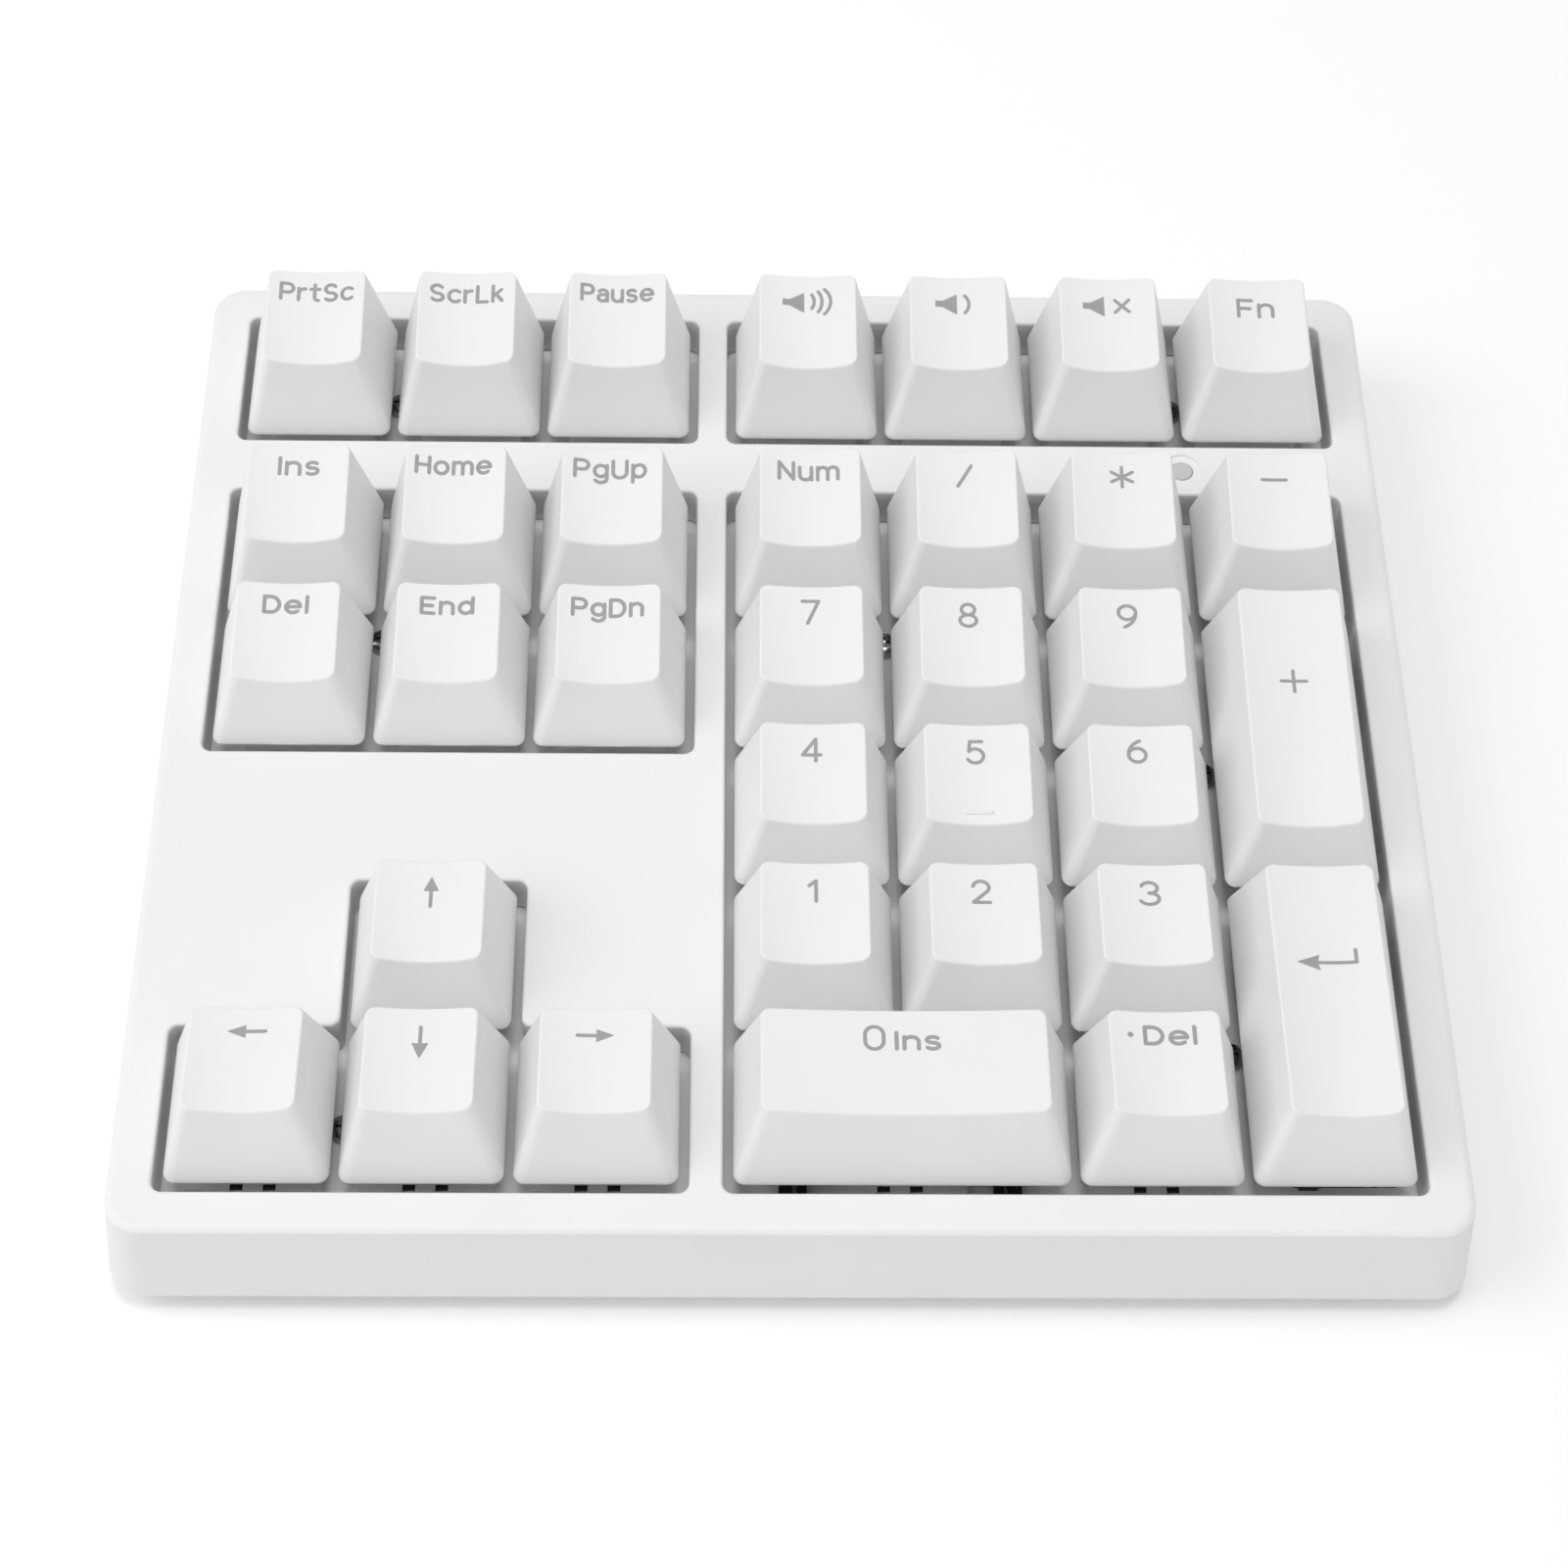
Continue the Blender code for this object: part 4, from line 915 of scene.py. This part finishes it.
def stabiliser_sliders(name, cap, turn):
    """Forked guides under the ends of a long cap. The wire's pins lie between their prongs."""
    bm = bmesh.new()
    low = SLIDER_LOW - cap.origin.z
    crotch = low + FORK_DEPTH
    fork = [(-2.2, low), (-1.5, low), (-1.5, crotch), (1.6, crotch), (1.6, low), (2.2, low)]
    fork += [(2.2, cap.roof), (-2.2, cap.roof)]
    for side in (-1, 1):
        rings = []
        for x in (side * STABILISER_SPREAD - SLIDER_HALF, side * STABILISER_SPREAD + SLIDER_HALF):
            places = spun([(x, y * MM) for y, _ in fork], (0.0, 0.0), turn)
            rings.append([(*place, z) for place, (_, z) in zip(places, fork)])
        skin(bm, rings)
    piece(f"stabiliser_sliders_{name[4:]}", bm, SWITCH_BLACK, name, (), cap.origin)


def homing_bar(cap):
    """The raised bar near the front edge of the 5 key's top, with a rounded crest."""
    bm = bmesh.new()
    base = centred(*BAR_SIZE, 0.0, cap.front + BAR_PLACE)
    rings = []
    for inset, drop in [(0.0, 0.25 * MM)] + quarter_arc(BAR_CREST, 4):
        outline = rounded(base, 0.29 * MM, -inset, 6, 6)
        rings.append([(x, y, cap.top(x, y) + BAR_RISE - drop) for x, y in outline])
    skin(bm, rings)
    piece("homing_bar", bm, KEY_PLASTIC, "key_five", (), cap.origin)


# ---------------------------------------------------------------- legends


def arc(x, y, half_width, half_height, start, end, steps=14):
    turns = [math.radians(start + (end - start) * step / steps) for step in range(steps + 1)]
    return [(x + half_width * math.cos(turn), y + half_height * math.sin(turn)) for turn in turns]


def turned_round(lines, width):
    """The same lines after half a turn, as a 9 from a 6."""
    return [[(width - x, 1 - y) for x, y in line] for line in lines]


SIX = [arc(0.35, 0.31, 0.35, 0.31, 0, 360, 20), arc(0.74, 0.31, 0.74, 0.69, 112, 180)]

# A sign is a list of lines in a box one unit high; a tuple of points is a filled shape.
SIGNS = {
    "0": [arc(0.36, 0.64, 0.36, 0.36, 0, 180) + arc(0.36, 0.36, 0.36, 0.36, 180, 360) + [(0.72, 0.64)]],
    "1": [[(0, 0.76), (0.3, 1), (0.3, 0)]],
    "2": [arc(0.34, 0.7, 0.33, 0.3, 170, -30) + [(0.02, 0), (0.7, 0)]],
    "3": [arc(0.31, 0.75, 0.3, 0.25, 160, -90), arc(0.3, 0.26, 0.36, 0.26, 90, -155)],
    "4": [[(0.54, 0), (0.54, 1), (0, 0.27), (0.74, 0.27)]],
    "5": [[(0.62, 1), (0.12, 1), (0.07, 0.53)] + arc(0.33, 0.33, 0.36, 0.33, 130, -150)],
    "6": SIX,
    "7": [[(0, 1), (0.68, 1), (0.22, 0)]],
    "8": [arc(0.35, 0.76, 0.28, 0.24, 0, 360, 20), arc(0.35, 0.26, 0.35, 0.26, 0, 360, 20)],
    "9": turned_round(SIX, 0.7),
    "/": [[(0, 0), (0.62, 1)]],
    "-": [[(0, 0.5), (1, 0.5)]],
    "+": [[(0, 0.5), (1, 0.5)], [(0.5, 0), (0.5, 1)]],
    "*": [[(0.43, 0), (0.43, 1)], [(0, 0.25), (0.86, 0.75)], [(0, 0.75), (0.86, 0.25)]],
    ".": [tuple(arc(0.5, 0.5, 0.5, 0.5, 0, 342, 19))],
    "D": [[(0, 0), (0, 1), (0.28, 1)] + arc(0.28, 0.5, 0.4, 0.5, 90, -90) + [(0, 0)]],
    "E": [[(0.56, 1), (0, 1), (0, 0), (0.56, 0)], [(0, 0.5), (0.48, 0.5)]],
    "F": [[(0.56, 1), (0, 1), (0, 0)], [(0, 0.5), (0.48, 0.5)]],
    "H": [[(0, 0), (0, 1)], [(0.66, 0), (0.66, 1)], [(0, 0.5), (0.66, 0.5)]],
    "I": [[(0, 0), (0, 1)]],
    "L": [[(0, 1), (0, 0), (0.52, 0)]],
    "N": [[(0, 0), (0, 1), (0.68, 0), (0.68, 1)]],
    "P": [[(0, 0), (0, 1), (0.36, 1)] + arc(0.36, 0.72, 0.28, 0.28, 90, -90) + [(0, 0.44)]],
    "S": [arc(0.31, 0.74, 0.29, 0.26, 35, 270) + arc(0.31, 0.24, 0.31, 0.24, 90, -145)],
    "U": [[(0, 1)] + arc(0.33, 0.33, 0.33, 0.33, 180, 360) + [(0.66, 1)]],
    "a": [
        arc(0.27, 0.5, 0.25, 0.24, 150, 0) + [(0.52, 0)],
        [(0.52, 0.42), (0.24, 0.42)] + arc(0.22, 0.21, 0.22, 0.21, 90, 270) + [(0.3, 0), (0.52, 0.14)],
    ],
    "c": [arc(0.33, 0.37, 0.33, 0.37, 48, 312)],
    "d": [[(0.6, 0), (0.6, 1)], arc(0.3, 0.37, 0.3, 0.37, 0, 360, 20)],
    "e": [[(0.03, 0.38), (0.64, 0.38)] + arc(0.33, 0.37, 0.33, 0.37, 0, 312)],
    "g": [
        arc(0.3, 0.4, 0.3, 0.34, 0, 360, 20),
        [(0.6, 0.74), (0.6, -0.05)] + arc(0.3, -0.05, 0.3, 0.25, 0, -150),
    ],
    "k": [[(0, 0), (0, 1)], [(0.44, 0.72), (0.03, 0.34)], [(0.17, 0.45), (0.48, 0)]],
    "l": [[(0, 0), (0, 1)]],
    "m": [
        [(0, 0), (0, 0.74)],
        [(0, 0.46)] + arc(0.24, 0.48, 0.24, 0.26, 180, 0) + [(0.48, 0)],
        [(0.48, 0.46)] + arc(0.72, 0.48, 0.24, 0.26, 180, 0) + [(0.96, 0)],
    ],
    "n": [[(0, 0), (0, 0.74)], [(0, 0.44)] + arc(0.28, 0.46, 0.28, 0.28, 180, 0) + [(0.56, 0)]],
    "o": [arc(0.33, 0.37, 0.33, 0.37, 0, 360, 20)],
    "p": [[(0, 0.74), (0, -0.28)], arc(0.3, 0.37, 0.3, 0.37, 0, 360, 20)],
    "r": [[(0, 0), (0, 0.74)], [(0, 0.4)] + arc(0.3, 0.42, 0.3, 0.31, 180, 80)],
    "s": [arc(0.25, 0.56, 0.23, 0.18, 35, 270) + arc(0.25, 0.19, 0.25, 0.19, 90, -145)],
    "t": [[(0.2, 1.0), (0.2, 0.22)] + arc(0.4, 0.22, 0.2, 0.22, 180, 275), [(0, 0.72), (0.46, 0.72)]],
    "u": [
        [(0, 0.74), (0, 0.28)] + arc(0.28, 0.28, 0.28, 0.28, 180, 360) + [(0.56, 0.74)],
        [(0.56, 0.74), (0.56, 0)],
    ],
    "left": [[(0.3, 0.5), (1, 0.5)], ((-0.03, 0.5), (0.44, -0.1), (0.44, 1.1))],
    "right": [[(0, 0.5), (0.7, 0.5)], ((1.03, 0.5), (0.56, 1.1), (0.56, -0.1))],
    "up": [[(0.5, 0), (0.5, 0.7)], ((0.5, 1.03), (-0.1, 0.56), (1.1, 0.56))],
    "down": [[(0.5, 0.3), (0.5, 1)], ((0.5, -0.03), (1.1, 0.44), (-0.1, 0.44))],
    "return": [[(0.8, 0.3), (2.9, 0.3), (2.9, 1)], ((-0.08, 0.3), (1.02, -0.1), (0.9, 0.3), (1.02, 0.7))],
    "speaker": [((0, 0.36), (0.3, 0.36), (0.92, 0.02), (0.92, 0.98), (0.3, 0.64), (0, 0.64))],
    "wave": [arc(-1.8, 0.5, 2.8, 0.653, 50, -50)],
    "x": [[(0, 0.1), (0.74, 0.9)], [(0, 0.9), (0.74, 0.1)]],
}
LETTER_GAP = 0.3
LEAST_WIDTH = 0.05

# For each key, its signs with their box in millimetres: width, height, and the middle and foot of the
# box, from the key's centre.
LEGENDS = {
    "print_screen": [("PrtSc", 9.4, 2.7, 0.0, 3.35)],
    "scroll_lock": [("ScrLk", 9.4, 2.7, -0.1, 3.3)],
    "pause": [("Pause", 9.4, 2.65, -0.1, 3.6)],
    "volume_up": [
        (["speaker"], 3.05, 3.25, -1.83, 2.26),
        (["wave"], 0.72, 2.4, 0.65, 2.85),
        (["wave"], 0.9, 3.35, 1.55, 2.35),
        (["wave"], 1.2, 4.0, 2.5, 2.0),
    ],
    "volume_down": [(["speaker"], 3.05, 3.25, -1.48, 2.22), (["wave"], 0.95, 2.9, 1.15, 2.4)],
    "mute": [(["speaker"], 3.05, 3.25, -1.78, 2.1), (["x"], 2.2, 2.6, 1.85, 2.45)],
    "fn": [("Fn", 4.8, 2.8, -0.2, 2.2)],
    "insert": [("Ins", 5.1, 2.6, 0.0, 3.5)],
    "home": [("Home", 9.4, 2.6, -0.3, 3.7)],
    "page_up": [("PgUp", 9.0, 2.7, -0.3, 3.35)],
    "num_lock": [("Num", 7.6, 2.7, -0.2, 3.3)],
    "divide": [("/", 2.1, 3.2, -0.2, 2.6)],
    "multiply": [("*", 3.0, 3.05, 0.0, 2.7)],
    "subtract": [("-", 3.35, 0.9, -0.4, 3.55)],
    "delete": [("Del", 5.5, 2.5, -0.3, 3.4)],
    "end": [("End", 6.5, 2.45, -0.2, 3.4)],
    "page_down": [("PgDn", 8.7, 2.6, -0.2, 3.2)],
    "seven": [("7", 2.35, 3.3, -0.1, 2.5)],
    "eight": [("8", 2.4, 3.3, -0.35, 2.25)],
    "nine": [("9", 2.5, 3.35, -0.4, 2.15)],
    "add": [("+", 3.4, 3.25, -0.3, 2.8)],
    "four": [("4", 2.5, 3.25, -0.15, 2.5)],
    "five": [("5", 2.3, 3.2, -0.2, 2.35)],
    "six": [("6", 2.45, 3.3, -0.4, 2.6)],
    "arrow_up": [(["up"], 1.85, 4.0, 0.1, 1.6)],
    "one": [("1", 1.2, 3.05, -0.25, 2.5)],
    "two": [("2", 2.35, 3.15, -0.3, 2.45)],
    "three": [("3", 2.45, 3.25, -0.3, 2.3)],
    "enter": [(["return"], 6.8, 2.7, -0.15, 3.6)],
    "arrow_left": [(["left"], 4.35, 1.6, 0.2, 3.98)],
    "arrow_down": [(["down"], 1.95, 4.05, 0.0, 1.55)],
    "arrow_right": [(["right"], 4.3, 1.6, -0.1, 3.65)],
    "zero": [("0", 2.45, 3.2, -3.25, 2.7), ("Ins", 5.1, 2.45, 1.5, 2.75)],
    "decimal": [(".", 0.95, 0.95, -3.8, 4.25), ("Del", 5.9, 2.5, 0.55, 3.48)],
}


def laid_out(signs, width, height, x, foot, stroke):
    """Lines and filled shapes of the signs side by side, fitted to a box, in millimetres."""
    shapes, start = [], 0.0
    for sign in signs:
        reach = max(px for shape in SIGNS[sign] for px, _ in shape)
        shapes += [type(shape)((px + start, py) for px, py in shape) for shape in SIGNS[sign]]
        start += reach + LETTER_GAP
    total = start - LETTER_GAP
    across = (width - stroke) / total if total > LEAST_WIDTH else 0.0
    left, low, up = x - across * total / 2, foot + stroke / 2, height - stroke
    return [type(shape)((left + px * across, low + py * up) for px, py in shape) for shape in shapes]


def capsule(a, b, radius):
    """Outline of a straight stroke with round ends."""
    along = (b - a).normalized() if (b - a).length > 1e-6 else Vector((1.0, 0.0))
    heading = math.atan2(along.y, along.x)
    points = []
    for centre, turn in ((b, -90), (a, 90)):
        for step in range(7):
            angle = heading + math.radians(turn + 30 * step)
            points.append(centre + radius * Vector((math.cos(angle), math.sin(angle))))
    return points


def dense(line, longest=0.5):
    """The line with its long pieces cut, so that it can follow the dish."""
    points = [Vector(line[0])]
    for end in map(Vector, line[1:]):
        start = points[-1]
        count = max(1, math.ceil((end - start).length / longest))
        points += [start.lerp(end, part / count) for part in range(1, count + 1)]
    return points


def ink_outlines(shapes, stroke):
    """Closed outlines that together cover the signs."""
    outlines = []
    for shape in shapes:
        filled = isinstance(shape, tuple)
        points = dense([*shape, shape[0]] if filled else shape)
        radius = FILL_EDGE_MM / 2 if filled else stroke / 2
        outlines += [capsule(a, b, radius) for a, b in zip(points, points[1:])]
        if filled:
            outlines.append(points[:-1])
    return outlines


def legend(name, cap):
    """The signs as a thin print on the dished top: closed sheets, with the strokes merged."""
    outlines = []
    for signs, width, height, x, foot in LEGENDS[name[4:]]:
        stroke = WORD_STROKE_MM if len(signs) > 1 else STROKE_MM
        outlines += ink_outlines(laid_out(signs, width, height, x, foot, stroke), stroke)
    points, faces = [], []
    for outline in outlines:
        faces.append(list(range(len(points), len(points) + len(outline))))
        points += outline
    found, _, triangles, _, _, sources = delaunay_2d_cdt(points, [], faces, 1, 1e-4)
    bm = bmesh.new()
    flat = [(point.x * MM, point.y * MM) for point in found]
    upper = [bm.verts.new((x, y, cap.top(x, y) + LEGEND_RISE)) for x, y in flat]
    lower = [bm.verts.new((x, y, cap.top(x, y) - LEGEND_ROOT)) for x, y in flat]
    for triangle, source in zip(triangles, sources):
        if source:
            bm.faces.new([upper[index] for index in triangle])
            bm.faces.new([lower[index] for index in reversed(triangle)])
    number = {vertex: index for index, vertex in enumerate(upper)}
    border = [edge for edge in bm.edges if len(edge.link_faces) == 1 and edge.verts[0] in number]
    for edge in border:
        a, b = (number[vertex] for vertex in edge.verts)
        bm.faces.new((upper[a], upper[b], lower[b], lower[a]))
    loose = [vertex for vertex in bm.verts if not vertex.link_faces]
    bmesh.ops.delete(bm, geom=loose, context="VERTS")
    piece(f"legend_{name[4:]}", bm, LEGEND_INK, name, (), cap.origin)


def keys():
    for name in KEY_NODES:
        cap = CapShape(name)
        bm = bmesh.new()
        skin(bm, cap_rings(cap))
        piece(f"cap_{name[4:]}", bm, KEY_PLASTIC, name, [name], cap.origin)
        stem(name, cap)
        legend(name, cap)
        if name == "key_five":
            homing_bar(cap)
    for name, _, turn in two_unit_keys():
        stabiliser_sliders(name, CapShape(name), turn)


# ---------------------------------------------------------------- carried-over nodes, stage, camera


def stabiliser_wires():
    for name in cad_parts:
        if name.startswith("stabiliser_wire"):
            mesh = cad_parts[name].data
            mesh.materials.clear()
            mesh.materials.append(STEEL)


def area_light(name, place, size, power):
    """A square lamp that faces the object."""
    light = bpy.data.lights.new(name, "AREA")
    light.size = size
    light.energy = power
    obj = bpy.data.objects.new(name, light)
    obj.location = place
    obj.rotation_euler = (-Vector(place)).to_track_quat("-Z", "Y").to_euler()
    bpy.context.scene.collection.objects.link(obj)


def stage():
    bm = bmesh.new()
    bmesh.ops.create_grid(bm, x_segments=1, y_segments=1, size=3.0)
    mesh = bpy.data.meshes.new("floor")
    bm.to_mesh(mesh)
    bm.free()
    floor = link("floor", mesh, floor_material(), (0.0, 0.0, -0.02 * MM))
    world = bpy.data.worlds.new("studio")
    world.use_nodes = True
    background = world.node_tree.nodes["Background"]
    background.inputs["Color"].default_value = WHITE
    background.inputs["Strength"].default_value = WORLD_STRENGTH
    bpy.context.scene.world = world
    for name, (place, size, power) in LAMPS.items():
        area_light(name, place, size, power)
    bpy.context.scene.view_settings.view_transform = "Standard"


def camera():
    data = bpy.data.cameras.new("camera")
    data.lens = CAMERA_LENS
    data.sensor_width = CAMERA_SENSOR
    data.clip_start, data.clip_end = 0.01, 20.0
    obj = bpy.data.objects.new("camera", data)
    turn = Matrix.Rotation(-CAMERA_SWING, 4, "Z") @ Matrix.Rotation(CAMERA_TILT, 4, "X")
    turn = turn @ Matrix.Rotation(CAMERA_SWING, 4, "Z")
    obj.matrix_world = Matrix.Translation(CAMERA_PLACE) @ turn
    bpy.context.scene.collection.objects.link(obj)
    bpy.context.scene.camera = obj


top_case()
case_screw_bosses()
bottom_tray()
switch_plate()
circuit_board()
switches()
stabilisers()
stabiliser_wires()
screws()
indicator()
usb_port()
rubber_feet()
flip_feet()
keys()
stage()
camera()
